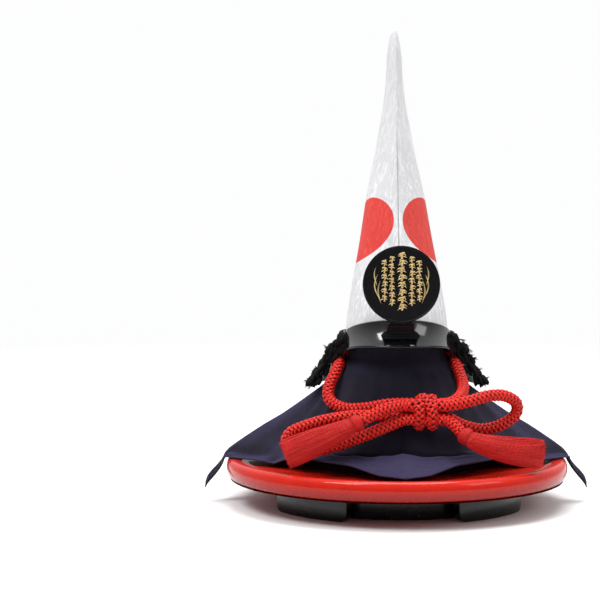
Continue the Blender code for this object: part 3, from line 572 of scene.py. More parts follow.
class Effects:
    """The shader groups that more than one finish uses."""

    def __init__(self) -> None:
        """Builds each group once."""
        self.marks = self.build_marks()
        self.fibres = self.build_fibres()
        self.weave = self.build_weave()
        self.strokes = self.build_strokes()

    @staticmethod
    def build_marks() -> Tree:
        """Soft handling marks and a little dust: a value that is 0 on clean places."""
        group = Group("handling marks", "ShaderNodeTree",
                      {"Vector": "Vector", "Size": 40.0, "Amount": 0.5, "Dust": 0.3},
                      ("Value:Float", "Dust:Float"))
        place, size = group.given["Vector"], group.given["Size"]
        broad = group.span(group.noise(place, size, 5.0, 0.6, 0.4), 0.42, 0.72)
        fine = group.span(group.noise(place, size * 7.0, 2.0, 0.6, 0.2), 0.3, 0.75)
        speck = group.span(group.noise(place, size * 45.0, 1.0), 0.70, 0.78)
        return group.end(Value=broad * fine * group.given["Amount"], Dust=speck * group.given["Dust"])

    @staticmethod
    def build_fibres() -> Tree:
        """Fine threads that run along a strand, read from its UV map."""
        group = Group("silk fibres", "ShaderNodeTree", {"Vector": "Vector", "Round": 9.0, "Twist": 120.0},
                      ("Height:Float", "Tone:Float"))
        place = group.given["Vector"]
        around, along, _ = group.split(place)
        turns = around * group.given["Round"] + along * group.given["Twist"]
        wander = group.streaks(place, (6.0, 900.0, 1.0), 2.0)
        wave = abs(group.math("SINE", (turns + wander) * math.pi))
        hair = group.streaks(place, (60.0, 260.0, 1.0), 3.0, 0.7)
        tone = group.span(wave, 0.0, 0.8, 0.35, 1.0) * group.span(hair, 0.3, 0.7, 0.7, 1.0)
        return group.end(Height=group.math("POWER", wave, 0.6) + hair * 0.35, Tone=tone)

    @staticmethod
    def build_weave() -> Tree:
        """A plain weave, read from flat places in metres."""
        group = Group("plain weave", "ShaderNodeTree", {"Vector": "Vector", "Threads": 1500.0},
                      ("Height:Float", "Tone:Float"))
        place = group.given["Vector"]
        shift = group.noise(place, 60.0, 2.0) * 0.0008
        pitch = group.given["Threads"] * math.pi
        first, second = (group.math("SINE", (part + shift) * pitch) for part in group.split(place)[:2])
        over = group.span(first * second, -0.15, 0.15)
        height = abs(first) * over + abs(second) * (1.0 - over)
        slub = group.streaks(place, (90.0, 900.0, 1.0), 3.0, 0.6)
        uneven = slub + group.streaks(place, (900.0, 90.0, 1.0), 3.0, 0.6)
        tone = group.span(height, 0.1, 0.95, 0.45, 1.0) * group.span(uneven, 0.7, 1.3, 0.7, 1.15)
        return group.end(Height=height * group.span(uneven, 0.7, 1.3, 0.75, 1.0), Tone=tone)

    @staticmethod
    def build_strokes() -> Tree:
        """Crinkles that run mostly upright, as in foil pressed on by hand."""
        group = Group("leaf crinkles", "ShaderNodeTree",
                      {"Vector": "Vector", "Fineness": 420.0, "Stretch": 0.16},
                      ("Height:Float", "Tone:Float"))
        squeeze = group.read("ShaderNodeCombineXYZ", {0: 1.0, 1: 1.0, 2: group.given["Stretch"]})
        place = group.scaled(group.given["Vector"], squeeze)
        fine, broad = (
            abs(group.noise(place, group.given["Fineness"] * share, detail, 0.55, 1.1) * 2.0 - 1.0)
            for share, detail in ((1.0, 3.0), (0.42, 4.0)))
        height = fine * 0.6 + broad * 0.8
        return group.end(Height=height, Tone=group.span(height, 0.02, 0.42))


# Finishes


class Look(Sketch):
    """A material under way."""

    def __init__(self, name: str, effects: Effects | None, **sockets: Any) -> None:
        """Starts the material, with plain values of the shader's own sockets."""
        self.material = bpy.data.materials.new(name)
        self.material.use_nodes = True
        super().__init__(self.material.node_tree)
        self.effects = effects
        self.shader = self.tree.nodes["Principled BSDF"]
        self.set(**sockets)

    def set(self, **sockets: Any) -> None:
        """Sets or joins the shader's sockets, with _ for a space."""
        for key, value in sockets.items():
            self.plug(self.shader.inputs[key.replace("_", " ")], value)

    def place(self, kind: str = "Object") -> Value:
        """The Object or the UV coordinates."""
        return self.read("ShaderNodeTexCoord", output=kind)

    def marks(self, size: float, dust: float, amount: float = 1.0) -> tuple[Value, Value]:
        """The handling marks and the dust."""
        marks = self.group(self.effects.marks, Vector=self.place(), Size=size, Amount=amount, Dust=dust)
        return marks["Value"], marks["Dust"]

    def strokes(self, fineness: float, stretch: float) -> tuple[Value, Value]:
        """The height and the tone of the leaf crinkles."""
        strokes = self.group(self.effects.strokes, Vector=self.place(), Fineness=fineness, Stretch=stretch)
        return strokes["Height"], strokes["Tone"]

    def attribute(self, name: str) -> Value:
        """A number kept in the mesh's points."""
        return self.read("ShaderNodeAttribute", output="Fac", attribute_name=name)

    def end(self, colour: Value, roughness: Value, height: Value, depth: float,
            **sockets: Value) -> Material:
        """Joins the colour, the roughness and a relief of this depth in metres, and ends the material."""
        bump = self.read("ShaderNodeBump", {"Strength": 1.0, "Distance": depth, "Height": height})
        self.set(Base_Color=colour, Roughness=roughness, Normal=bump, **sockets)
        return self.material


@dataclass(frozen=True)
class SilverLeaf:
    """Crinkled silver leaf with a red sun painted on each side, and painted shade in a thin line along the
    ridges for the groove of the seam.
    """

    light: Colour = (0.91, 0.91, 0.92)
    dark: Colour = (0.67, 0.67, 0.69)
    sun: Colour = (0.56, 0.022, 0.016)
    sun_pale: Colour = (0.66, 0.050, 0.036)
    ridge_groove_shade: Colour = (0.20, 0.20, 0.21)
    sun_middle: tuple[float, float] = (0.004, 0.240)
    sun_radius: float = 0.029
    metal: float = 0.45
    roughness: float = 0.36
    relief: float = 0.00030

    def make(self, effects: Effects) -> Material:
        """Builds the material."""
        look = Look("silver leaf and painted sun", effects, Specular_IOR_Level=0.5)
        place = look.place()
        height, tone = look.strokes(430.0, 0.15)
        marks, _ = look.marks(55.0, 0.2, 0.6)
        cloud = look.span(look.noise(place, 26.0, 4.0), 0.35, 0.7)
        leaf = look.blend(cloud * 0.25, look.blend(tone, self.dark, self.light), self.light)
        x, y, z = look.split(place)
        along, up = y - self.sun_middle[0], z - self.sun_middle[1]
        distance = look.math("SQRT", along * along + up * up) + look.noise(place, 700.0, 2.0) * 0.0006
        painted = look.span(distance, self.sun_radius + 0.0004, self.sun_radius + 0.0001)
        colour = look.blend(painted, leaf, look.blend(tone, self.sun, self.sun_pale))
        # Painted shade: a dark line along the ridges, for the groove of the seam, lighter towards the tip.
        from_ridge = abs(x) + look.noise(place, 90.0, 2.0) * 0.0009
        ridge_groove_shade = look.span(from_ridge, 0.0008, 0.0013, 1.0, 0.0) * look.span(z, 0.350, 0.300, 0.15, 0.75)
        rough = marks * 0.16 + painted * 0.14 + self.roughness
        return look.end(look.blend(ridge_groove_shade, colour, self.ridge_groove_shade), rough, height, self.relief,
                        Metallic=(1.0 - painted) * self.metal)


@dataclass(frozen=True)
class Lacquer:
    """Brushed or polished lacquer: a deep colour under a clear coat."""

    name: str
    colour: Colour
    deep: Colour
    roughness: float
    coat: float
    shine: float = 0.5
    ripple: float = 0.00012
    shade_heights: tuple[float, float] | None = None

    def make(self, effects: Effects) -> Material:
        """Builds the material; where it has heights, its deep colour is painted shade, darker towards the
        bottom.
        """
        look = Look(self.name, effects, Coat_Weight=self.coat, Coat_Roughness=0.03,
                    Specular_IOR_Level=self.shine, IOR=1.5)
        place = look.place()
        marks, dust = look.marks(32.0, 1.0)
        cloud = look.span(look.noise(place, 18.0, 4.0, 0.55), 0.3, 0.7)
        # Painted shade: the deep colour fills the low part and gives way to the bright one above.
        if self.shade_heights:
            cloud = look.span(look.split(place)[2], *self.shade_heights) * look.span(cloud, 0.0, 1.0, 0.8, 1.0)
        dusted = tuple(mix(value, 0.55, 0.18) for value in self.colour)
        colour = look.blend(dust * 0.5, look.blend(cloud, self.deep, self.colour), dusted)
        rough = marks * 0.10 + self.roughness + dust * 0.2
        relief = look.noise(place, 24.0, 2.0) + look.noise(place, 420.0, 1.0) * 0.03
        return look.end(colour, rough, relief, self.ripple)


@dataclass(frozen=True)
class Grain:
    """Gold leaf, or board darkened as painted shadow: two tones over short strokes."""

    name: str
    light: Colour
    dark: Colour
    strokes: tuple[float, float]
    marks: tuple[float, float]
    wear: float
    roughness: float
    relief: float
    metal: float = 0.0
    shine: float = 0.5

    def make(self, effects: Effects) -> Material:
        """Builds the material."""
        look = Look(self.name, effects, Metallic=self.metal, Specular_IOR_Level=self.shine)
        height, tone = look.strokes(*self.strokes)
        marks, _ = look.marks(*self.marks)
        return look.end(look.blend(tone, self.dark, self.light), marks * self.wear + self.roughness, height,
                        self.relief)


@dataclass(frozen=True)
class Silk:
    """Silk yarn, whose fibres run along each strand."""

    name: str
    light: Colour
    dark: Colour
    round_count: float
    twist: float
    sheen: float
    roughness: float = 0.52
    gloss: float = 0.30
    gap_shade: Colour | None = None

    def make(self, effects: Effects) -> Material:
        """Builds the material, with painted shade between the strands, darker towards the cord's middle, where
        it has a colour for the gaps.
        """
        look = Look(self.name, effects, Sheen_Weight=self.sheen, Sheen_Roughness=0.35,
                    Specular_IOR_Level=self.gloss,
                    Sheen_Tint=tuple(min(1.0, value * 1.6 + 0.15) for value in self.light))
        fibres = look.group(effects.fibres, Vector=look.place("UV"), Round=self.round_count,
                            Twist=self.twist)
        marks, _ = look.marks(70.0, 0.2)
        worn = tuple(min(1.0, value * 1.35 + 0.012) for value in self.light)
        colour = look.blend(marks * 0.35, look.blend(fibres["Tone"], self.dark, self.light), worn)
        if self.gap_shade:
            colour = look.blend(look.span(look.attribute("depth"), 0.66, 1.0), self.gap_shade, colour)
        return look.end(colour, marks * 0.12 + self.roughness, fibres["Height"], 0.00018)


@dataclass(frozen=True)
class WovenCloth:
    """Plain woven cotton, with painted shade: darker where it faces sideways or down, paler where it faces up.
    """

    light: Colour = (0.033, 0.026, 0.076)
    dark: Colour = (0.009, 0.006, 0.021)
    side_shade_share: float = 0.20
    threads: float = 1450.0

    def make(self, effects: Effects) -> Material:
        """Builds the material."""
        look = Look("navy cloth", effects, Sheen_Weight=0.10, Sheen_Roughness=0.5, Specular_IOR_Level=0.2,
                    Sheen_Tint=(0.55, 0.55, 0.80))
        weave = look.group(effects.weave, Vector=look.place("UV"), Threads=self.threads)
        marks, _ = look.marks(28.0, 0.6)
        faded = tuple(value * 1.5 for value in self.light)
        colour = look.blend(marks * 0.4, look.blend(weave["Tone"], self.dark, self.light), faded)
        # Painted shade: the colour falls to this share where the cloth faces sideways or down.
        colour = look.scaled(colour, look.span(look.attribute("faded"), 0.0, 1.0, self.side_shade_share, 1.0))
        rough = look.span(weave["Tone"], 0.2, 1.0, 0.92, 0.78)
        return look.end(colour, rough, weave["Height"] + look.noise(look.place(), 120.0, 3.0) * 1.2, 0.00022)


class Palette:
    """Every finish, built once."""

    def __init__(self) -> None:
        """Builds the groups and then the materials."""
        finishes = {
            "silver": SilverLeaf(),
            "black": Lacquer("black lacquer", (0.0075, 0.0075, 0.008), (0.004, 0.004, 0.0045), 0.16, 0.7),
            "satin": Lacquer("satin black lacquer", (0.005, 0.005, 0.006), (0.003, 0.003, 0.004),
                             0.42, 0.0, 0.10),
            "soft_black": Lacquer("soft black lacquer", (0.006, 0.006, 0.0065), (0.003, 0.003, 0.0035),
                                  0.24, 0.28, 0.20),
            # The vermilion paints shade on the lower part of the tray's rim.
            "vermilion": Lacquer("vermilion lacquer", (0.54, 0.015, 0.006), (0.22, 0.004, 0.002),
                                 0.26, 0.42, 0.08, shade_heights=(0.0235, 0.0385)),
            "gold": Grain("gold leaf", (1.0, 0.85, 0.50), (0.82, 0.64, 0.30), (900.0, 0.6), (160.0, 0.3),
                          0.25, 0.30, 0.00012, metal=1.0),
            "red_silk": Silk("red silk", (0.88, 0.013, 0.004), (0.47, 0.005, 0.002),
                             7.0, 90.0, 0.04, 0.44, 0.36, gap_shade=(0.085, 0.0012, 0.0008)),
            "red_thread": Silk("red tassel thread", (0.58, 0.009, 0.006), (0.24, 0.002, 0.002),
                               3.0, 300.0, 0.06),
            "black_silk": Silk("black silk lacing", (0.0075, 0.0075, 0.009), (0.002, 0.002, 0.0025),
                               8.0, 5.0, 0.03, 0.75, 0.16),
            "navy": WovenCloth(),
            "navy_thread": Silk("navy stitching thread", (0.060, 0.052, 0.13), (0.02, 0.018, 0.05),
                                3.0, 4.0, 0.2),
            # Near black, as painted shadow under the cloth's lifted hem.
            "board": Grain("core board", (0.020, 0.018, 0.022), (0.010, 0.009, 0.011), (300.0, 0.8),
                           (30.0, 1.0), 0.1, 0.8, 0.0002, shine=0.2),
        }
        effects = Effects()
        self.materials = {name: finish.make(effects) for name, finish in finishes.items()}

    def __getitem__(self, name: str) -> Material:
        """A finish by its name."""
        return self.materials[name]


# Geometry Nodes


class Trees:
    """The Geometry Nodes trees: strands swept along lines, and lumps repeated along a line."""

    def __init__(self) -> None:
        """Builds each tree once."""
        self.sweep = self.build_sweep()
        self.repeat = self.build_repeat()

    @staticmethod
    def capture(group: Group, curve: Value, what: str) -> list[Value]:
        """A curve that keeps its spline's length or factor at each point, and the kept number."""
        node = group.node("GeometryNodeCaptureAttribute", domain="POINT")
        node.capture_items.new("FLOAT", what)
        group.plug(node.inputs[0], curve)
        group.plug(node.inputs[1], group.read("GeometryNodeSplineParameter", output=what))
        return [Value(group, node.outputs[index]) for index in (0, 1)]

    def tube(self, group: Group, curve: Value, scale: Value, resolution: Any) -> Value:
        """A tube round a curve, with a UV map of its turn and its length.

        Args:
            group: The tree under way.
            curve: The curve.
            scale: The tube's radius at each point.
            resolution: Points round it, the first one met again at the end.

        Returns:
            The mesh.
        """
        line, along = self.capture(group, curve, "Length")
        circle = group.read("GeometryNodeCurveArc", {"Resolution": resolution, "Radius": 1.0,
                                                     "Sweep Angle": math.tau})
        profile, around = self.capture(group, circle, "Factor")
        mesh = group.read("GeometryNodeCurveToMesh",
                          {"Curve": line, "Profile Curve": profile, "Scale": scale})
        flat = group.read("ShaderNodeCombineXYZ", {0: around, 1: along})
        stored = group.read("GeometryNodeStoreNamedAttribute",
                            {"Geometry": mesh, "Name": "UVMap", "Value": flat},
                            data_type="FLOAT2", domain="CORNER")
        return group.read("GeometryNodeMergeByDistance", {"Geometry": stored, "Distance": 0.000002})

    @staticmethod
    def close(group: Group, shape: Value) -> Tree:
        """Ends a tree with Realize Instances and Set Material."""
        smooth = group.read("GeometryNodeSetShadeSmooth", {"Geometry": shape})
        real = group.read("GeometryNodeRealizeInstances", {"Geometry": smooth})
        return group.end(Shape=group.read("GeometryNodeSetMaterial", {"Geometry": real,
                                                                      "Material": group.given["Material"]}))

    def build_sweep(self) -> Tree:
        """Turns lines into round strands as thick as their thickness attribute says."""
        group = Group("swept strands", "GeometryNodeTree",
                      {"Lines": "Geometry", "Points round": 7, "Material": "Material"}, ("Shape:Geometry",))
        curve = group.read("GeometryNodeMeshToCurve", {"Mesh": group.given["Lines"]})
        thickness = group.read("GeometryNodeInputNamedAttribute", {"Name": "thickness"}, data_type="FLOAT")
        return self.close(group, self.tube(group, curve, thickness, group.given["Points round"]))

    def build_repeat(self) -> Tree:
        """Sets rounded lumps along a line, turned by its up and out attributes."""
        group = Group("lumps in a row", "GeometryNodeTree",
                      {"Lines": "Geometry", "Count": 40, "Width": 0.003, "Depth": 0.002, "Height": 0.010,
                       "Unevenness": 0.05, "Seed": 1, "Material": "Material"}, ("Shape:Geometry",))
        upright = group.read("GeometryNodeCurvePrimitiveLine", {"Start": (0, 0, -0.5), "End": (0, 0, 0.5)})
        upright = group.read("GeometryNodeResampleCurve", {"Curve": upright, "Count": 9})
        factor = group.read("GeometryNodeSplineParameter", output="Factor")
        taper = group.node("ShaderNodeFloatCurve", {"Value": factor})
        line = taper.mapping.curves[0]
        line.points[0].location = (0.0, 0.0)
        line.points[1].location = (1.0, 0.0)
        for place in ((0.10, 0.40), (0.26, 0.50), (0.74, 0.50), (0.90, 0.40)):
            line.points.new(*place)
        taper.mapping.update()
        lump = self.tube(group, upright, Value(group, taper.outputs[0]), 9)
        curve = group.read("GeometryNodeMeshToCurve", {"Mesh": group.given["Lines"]})
        places = group.read("GeometryNodeResampleCurve", {"Curve": curve, "Count": group.given["Count"]})
        up, out = (group.read("GeometryNodeInputNamedAttribute", {"Name": name}, data_type="FLOAT_VECTOR")
                   for name in ("up", "out"))
        turn = group.read("FunctionNodeAxesToRotation", {0: up, 1: out}, primary_axis="Z",
                          secondary_axis="Y")
        low, high = 1.0 - group.given["Unevenness"], group.given["Unevenness"] + 1.0
        scales = []
        for step, size in enumerate(("Width", "Depth", "Height")):
            seed = group.given["Seed"] + 17.0 * step
            value = group.read("FunctionNodeRandomValue", {2: low, 3: high, "Seed": seed}, 1,
                               data_type="FLOAT")
            scales.append(group.given[size] * value)
        scale = group.read("ShaderNodeCombineXYZ", dict(enumerate(scales)))
        return self.close(group, group.read("GeometryNodeInstanceOnPoints", {
            "Points": places, "Instance": lump, "Rotation": turn, "Scale": scale}))

    @staticmethod
    def run(tree: Tree, lines: Object, values: dict[str, Any]) -> Mesh:
        """Runs a tree on an object of lines, which is removed, and keeps its result as a plain mesh."""
        modifier = lines.modifiers.new("shape", "NODES")
        modifier.node_group = tree
        names = {item.name: item.identifier for item in tree.interface.items_tree
                 if item.item_type == "SOCKET" and item.in_out == "INPUT"}
        for name, value in values.items():
            modifier[names[name]] = value
        graph = bpy.context.evaluated_depsgraph_get()
        data = bpy.data.meshes.new_from_object(lines.evaluated_get(graph), preserve_all_data_layers=True,
                                               depsgraph=graph)
        lines.modifiers.remove(modifier)
        bpy.data.objects.remove(lines, do_unlink=True)
        return data

    def strands(self, chains: Sequence[Sequence[Vector]], thickness: Sequence[Sequence[float]], sides: int,
                material: Material) -> Mesh:
        """Strands along lines of points, with their radius at each point."""
        return self.run(self.sweep, line_mesh(chains, thickness=thickness),
                        {"Points round": sides, "Material": material})

    def lumps(self, chains: Sequence[Sequence[Vector]], up: Sequence[Sequence[Vector]],
              out: Sequence[Sequence[Vector]], closed: bool = False, **values: Any) -> Mesh:
        """Lumps along lines of points, with the tree's inputs by name."""
        return self.run(self.repeat, line_mesh(chains, closed, up=up, out=out), values)


@dataclass
class Part:
    """A sub-assembly, with the finishes and the node trees that it is made with."""

    palette: Palette
    trees: Trees


# The stand


@dataclass
class Stand(Part):
    """The round tray, its four feet, the ring between them and the core under the cloth."""

    radius: float = 0.150
    low: float = 0.0225
    nose: float = 0.006
    slope: float = 0.013
    recess: float = 0.004
    foot_height: float = 0.0222
    foot_radius: float = 0.115
    foot_wall: float = 0.011
    foot_span: float = math.radians(42)
    foot_corner: float = 0.007
    foot_steps: int = 8
    ring_radius: float = 0.098
    ring_wall: float = 0.018
    ring_lift: float = 0.001
    ring_round: float = 0.0012
    sides: int = 160

    def build(self) -> None:
        """Builds and dresses every piece of the stand."""
        self.add_tray()
        self.add_ring()
        self.add_feet()
        # The core's near-black board is painted shadow where it shows under the lifted hem.
        core = bpy.data.objects["display_core"]
        core.data.materials.clear()
        core.data.materials.append(self.palette["board"])

    def add_tray(self) -> None:
        """The tray, with a rounded rim and a shallow recess."""
        low, top, nose = self.low, TRAY_TOP, self.nose
        floor = top - self.recess
        lip = self.radius - nose
        inner = lip - self.slope
        middle = mix(low, top, 0.5)
        corners = (
            (0.0005, low), (inner * 0.5, low), (self.radius - nose * 1.6, low),
            (self.radius - nose * 1.1, low + 0.0003), (self.radius - nose * 0.35, low + 0.0026),
            (self.radius, middle), (self.radius - nose * 0.15, mix(middle, top, 0.65)),
            (self.radius - nose * 0.5, mix(middle, top, 0.93)), (lip, top),
            (lip - self.slope * 0.45, mix(top, floor, 0.22)),
            (lip - self.slope * 0.85, mix(top, floor, 0.75)),
            (inner - 0.0025, floor), (inner * 0.9, floor), (inner * 0.45, floor), (0.0005, floor),
        )
        points = [Vector(corner) for corner in corners]
        rows = []
        for step in range((len(points) - 1) * 5 + 1):
            place = smooth_value(points, step / 5)
            radius = max(0.0004, place.x)
            rows.append(Ring(Z * place.y, X, Y).oval(self.sides, radius, radius))
        add_piece("round_tray", loft(rows), self.palette["vermilion"],
                  ["display_tray"], 50)

    def add_ring(self) -> None:
        """The ring under the tray."""
        inner, soft = self.ring_radius - self.ring_wall, self.ring_round
        low = self.ring_lift + soft
        bend = [(soft * math.cos(angle), soft * math.sin(angle))
                for angle in (0.0, math.pi / 6, math.pi / 3, math.pi / 2)]
        outline = [(self.ring_radius, self.foot_height)]
        outline += [(self.ring_radius - soft + x, low - z) for x, z in bend]
        outline += [(inner + soft - z, low - x) for x, z in bend] + [(inner, self.foot_height)]
        rows = []
        for step in range(self.sides):
            angle = math.tau * step / self.sides
            rows.append([Ring(Z * height, X, Y).at(angle, radius, radius) for radius, height in outline])
        mesh = loft(rows + rows[:1], ())
        bmesh.ops.remove_doubles(mesh, verts=mesh.verts, dist=0.000001)
        bmesh.ops.recalc_face_normals(mesh, faces=mesh.faces)
        add_piece("foot_ring", mesh, self.palette["soft_black"], ["tray_foot_ring"], 40)

    def add_feet(self) -> None:
        """Four curved feet with rounded lower corners and softened edges."""
        whole = bmesh.new()
        for index in range(4):
            absorb(whole, self.foot(math.tau * (index + 0.5) / 4))
        edges = [edge for edge in whole.edges
                 if len(edge.link_faces) == 2 and edge.calc_face_angle() > math.radians(40)]
        bmesh.ops.bevel(whole, geom=edges, offset=0.0008, segments=3, affect="EDGES", profile=0.5)
        bmesh.ops.recalc_face_normals(whole, faces=whole.faces)
        add_piece("tray_feet", whole, self.palette["soft_black"],
                  [f"tray_foot_{index}" for index in (1, 2, 3, 4)], 35)

    def foot(self, facing: float) -> BMesh:
        """One foot, in this direction from the tray's axis."""
        length, corner = self.foot_radius * self.foot_span, self.foot_corner
        bend = [corner * (1 - math.cos(math.pi / 2 * step / self.foot_steps))
                for step in range(self.foot_steps + 1)]
        middle = [mix(corner, length - corner, step / 14) for step in range(1, 14)]
        inner = self.foot_radius - self.foot_wall
        rows = []
        for distance in bend + middle + [length - value for value in reversed(bend)]:
            inside = max(0.0, corner - min(distance, length - distance))
            low = corner - math.sqrt(max(0.0, corner**2 - inside**2))
            angle = facing - self.foot_span / 2 + self.foot_span * distance / length
            rows.append([Ring(Z * height, X, Y).at(angle, radius, radius) for radius, height in (
                (self.foot_radius, self.foot_height), (self.foot_radius, low), (inner, low),
                (inner, self.foot_height))])
        return loft(rows)


@dataclass
class Cloth(Part):
    """The square cloth over the core, with its corners at the front, the back and both sides."""

    side: float = 0.360
    thickness: float = 0.0011
    side_reach: float = 0.168
    front_reach: float = 0.140
    edge_reach: float = 0.106
    hang_start: float = 0.1515
    columns: int = 320
    crowding: float = 0.12
    hidden_steps: int = 3
    shown_steps: int = 9
    hem: float = 0.35
    hem_height: float = 0.0007
    hem_lift: float = 0.0100
    front_bulge: float = 0.0045
    front_crease: float = 0.0040
    flap_edge: float = 0.0016
    corner_cup: float = 0.0062
    pleats: int = 23
    front_fold: float = 0.0012
    back_fold: float = 0.0145
    core_inset: float = 0.0045
    core_end_inset: float = 0.014
    core_slack: float = 0.0006
    crown_inset: float = 0.00208
    core_shares: tuple[float, ...] = (0.93, 0.75, 0.47, 0.235, 0.0)
    stitch_spacing: float = 0.0052

    @property
    def waist(self) -> int:
        """The place of the waist down a column of control points."""
        return 2 + len(self.core_shares)

    @property
    def edge(self) -> int:
        """The place of the cloth's edge down a column."""
        return self.waist + len(DRAPE_ROWS)

    def turn(self, step: int) -> float:
        """A column's turn: the columns stand closer together at the square's corners."""
        evenly = math.tau * step / self.columns
        return evenly - self.crowding * math.sin(4 * evenly)

    def rest_height(self, radius: float) -> float:
        """The lowest that the cloth's underside may lie at a distance from the tray's axis."""
        lip = TRAY_TOP + GAP
        if radius > self.hang_start:
            return lip - (radius - self.hang_start) * 1.76
        return mix(CORE_SEAT, lip, smooth_step((radius - 0.105) / 0.020))

    def corner_share(self, turn: float, sharp: float) -> float:
        """1 at the square's corners and 0 at the middle of its edges, as a soft wave or as the square."""
        reach = 1 / (abs(math.sin(turn)) + abs(math.cos(turn)))
        return mix(math.cos(2 * turn) ** 2, (reach - math.sqrt(0.5)) / (1 - math.sqrt(0.5)), sharp)

    def core_point(self, height: float, turn: float, grow: float) -> Vector:
        """A point of the cloth's underside where it lies on the core inside the cap."""
        half_width, front, middle, back = CAP.sizes(height)
        sizes = (half_width - self.core_inset + grow, front + self.core_end_inset - grow, middle,
                 back - self.core_end_inset + grow)
        return CAP.point(sizes, height, turn, CAP.sharpness(height))

    def lift(self, turn: float, fall: float) -> float:
        """How far the cloth stands off the tray near its hem, between the front and side corners."""
        side, fade = abs(math.remainder(turn, math.tau)), math.radians(24)
        rise = max(0.0, (fall - 0.80) / 0.20)
        from_front = smooth_step((side - math.radians(2)) / fade)
        from_side = smooth_step((math.radians(80) - side) / fade)
        return self.hem_lift * rise * from_side * mix(1.0, from_front, rise ** 0.7)

    def drape_point(self, row: DrapeRow, turn: float, sharp: float) -> Vector:
        """A point of the cloth's underside below the waist."""
        hem_corner, corner = self.corner_share(turn, 1.0), self.corner_share(turn, sharp)

        def spread(at_side: float, at_front: float, at_edge: float, share: float) -> float:
            """The value between the corners' and the edge's."""
            return mix(at_edge, mix(at_front, at_side, math.sin(turn) ** 2), share)

        reaches = (self.side_reach, self.front_reach, self.edge_reach)
        hem = Vector((math.sin(turn), -math.cos(turn), 0)) * spread(*reaches, hem_corner)
        waist = self.core_point(WAIST, turn, self.core_slack)
        out = spread(row.side_reach, row.front_reach, row.edge_reach, corner)
        fall = spread(row.side_fall, row.front_fall, row.edge_fall, corner)
        x, y = mix(waist.x, hem.x, out), mix(waist.y, hem.y, out)
        low = spread(*(self.rest_height(reach) for reach in reaches), hem_corner)
        height = mix(WAIST, low, fall) + self.lift(turn, fall)
        return Vector((x, y, max(height, self.rest_height(math.hypot(x, y)))))

    def controls(self, turn: float) -> list[Vector]:
        """The points from the crown to the hem that one column of the cloth follows."""
        _, front, _, back = CAP.sizes(CORE_TOP)
        ring = self.core_point(CORE_TOP, turn, -self.crown_inset) + Z * GAP
        centre = Vector((0, mix(front, back, 0.5), CORE_TOP + GAP))
        points = [centre.lerp(ring, 0.004), centre.lerp(ring, 0.6), ring]
        points += [self.core_point(mix(WAIST, CORE_TOP, share), turn, self.core_slack)
                   for share in self.core_shares]
        return points + [self.drape_point(row, turn, (index + 1) / len(DRAPE_ROWS))
                         for index, row in enumerate(DRAPE_ROWS)]

    def fold(self, turn: float, row: float) -> float:
        """How far the folds below the waist stand proud: deep behind, and slight in front."""
        down = row / len(DRAPE_ROWS)
        window = smooth_step(down / 0.30) * smooth_step((1.0 - down) / 0.30)
        behind = smooth_step((abs(math.remainder(turn, math.tau)) - 1.75) / 0.45)
        ring = Vector((math.cos(turn), math.sin(turn), 0))
        wander = noise.noise(ring * 1.7 + Z * (down * 0.8))
        pleat = 0.5 + 0.5 * math.sin(self.pleats * turn + 3.0 * wander)
        fine = noise.noise(ring * 7.0 + Vector((0, 5.0, down * 1.3)))
        return window * max(0.0, mix(self.front_fold, self.back_fold, behind) * pleat ** 1.4 + 0.0006 * fine)

    def crease(self, turn: float, row: float) -> float:
        """The bulge above the front flap, the crease at its root and its edge, as a distance outwards."""
        front = smooth_step((0.85 - abs(math.remainder(turn, math.tau))) / 0.35)
        return front * sum(size * math.exp(-((row - middle) / width) ** 2) for size, middle, width in (
            (self.front_bulge, 4.3, 0.9), (-self.front_crease, 6.05, 0.36), (self.flap_edge, 6.7, 0.32)))

    def hang(self, point: Vector) -> Vector:
        """A point past the tray's rim, where the side corners hang down, cup and turn out at their tips."""
        radius = math.hypot(point.x, point.y)
        over = self.side_reach - self.hang_start
        share = (radius - self.hang_start) / over
        if share <= 0:
            return point
        band = 0.0015 + 0.45 * over * max(0.0, 1 - share)
        cup = self.corner_cup * math.sin(math.pi * min(1.0, share) ** 1.4) * math.exp(-(point.y / band) ** 2)
        grown = (self.hang_start + over * share ** 1.7 + cup) / radius
        return Vector((point.x * grown, point.y * grown, point.z))

    def surface(self, columns: list[list[Vector]], step: int, place: float) -> Vector:
        """A point of the cloth's underside, with its folds, its crease and its hem.

        Args:
            columns: The columns of control points.
            step: Which column.
            place: The place down the column.

        Returns:
            The point.
        """
        turn = self.turn(step)
        point = smooth_value(columns[step % self.columns], place)
        row = place - self.waist
        if row <= 0:
            return point
        low = self.rest_height(math.hypot(point.x, point.y))
        hem = self.hem_height * smooth_step((place - self.edge + 0.85) / 0.12)
        proud = self.fold(turn, row) + self.crease(turn, row) + hem
        point = point + Vector((math.sin(turn) * 0.6, -math.cos(turn) * 0.6, 0.8)) * proud
        point.z = max(point.z, low)
        return self.hang(point)

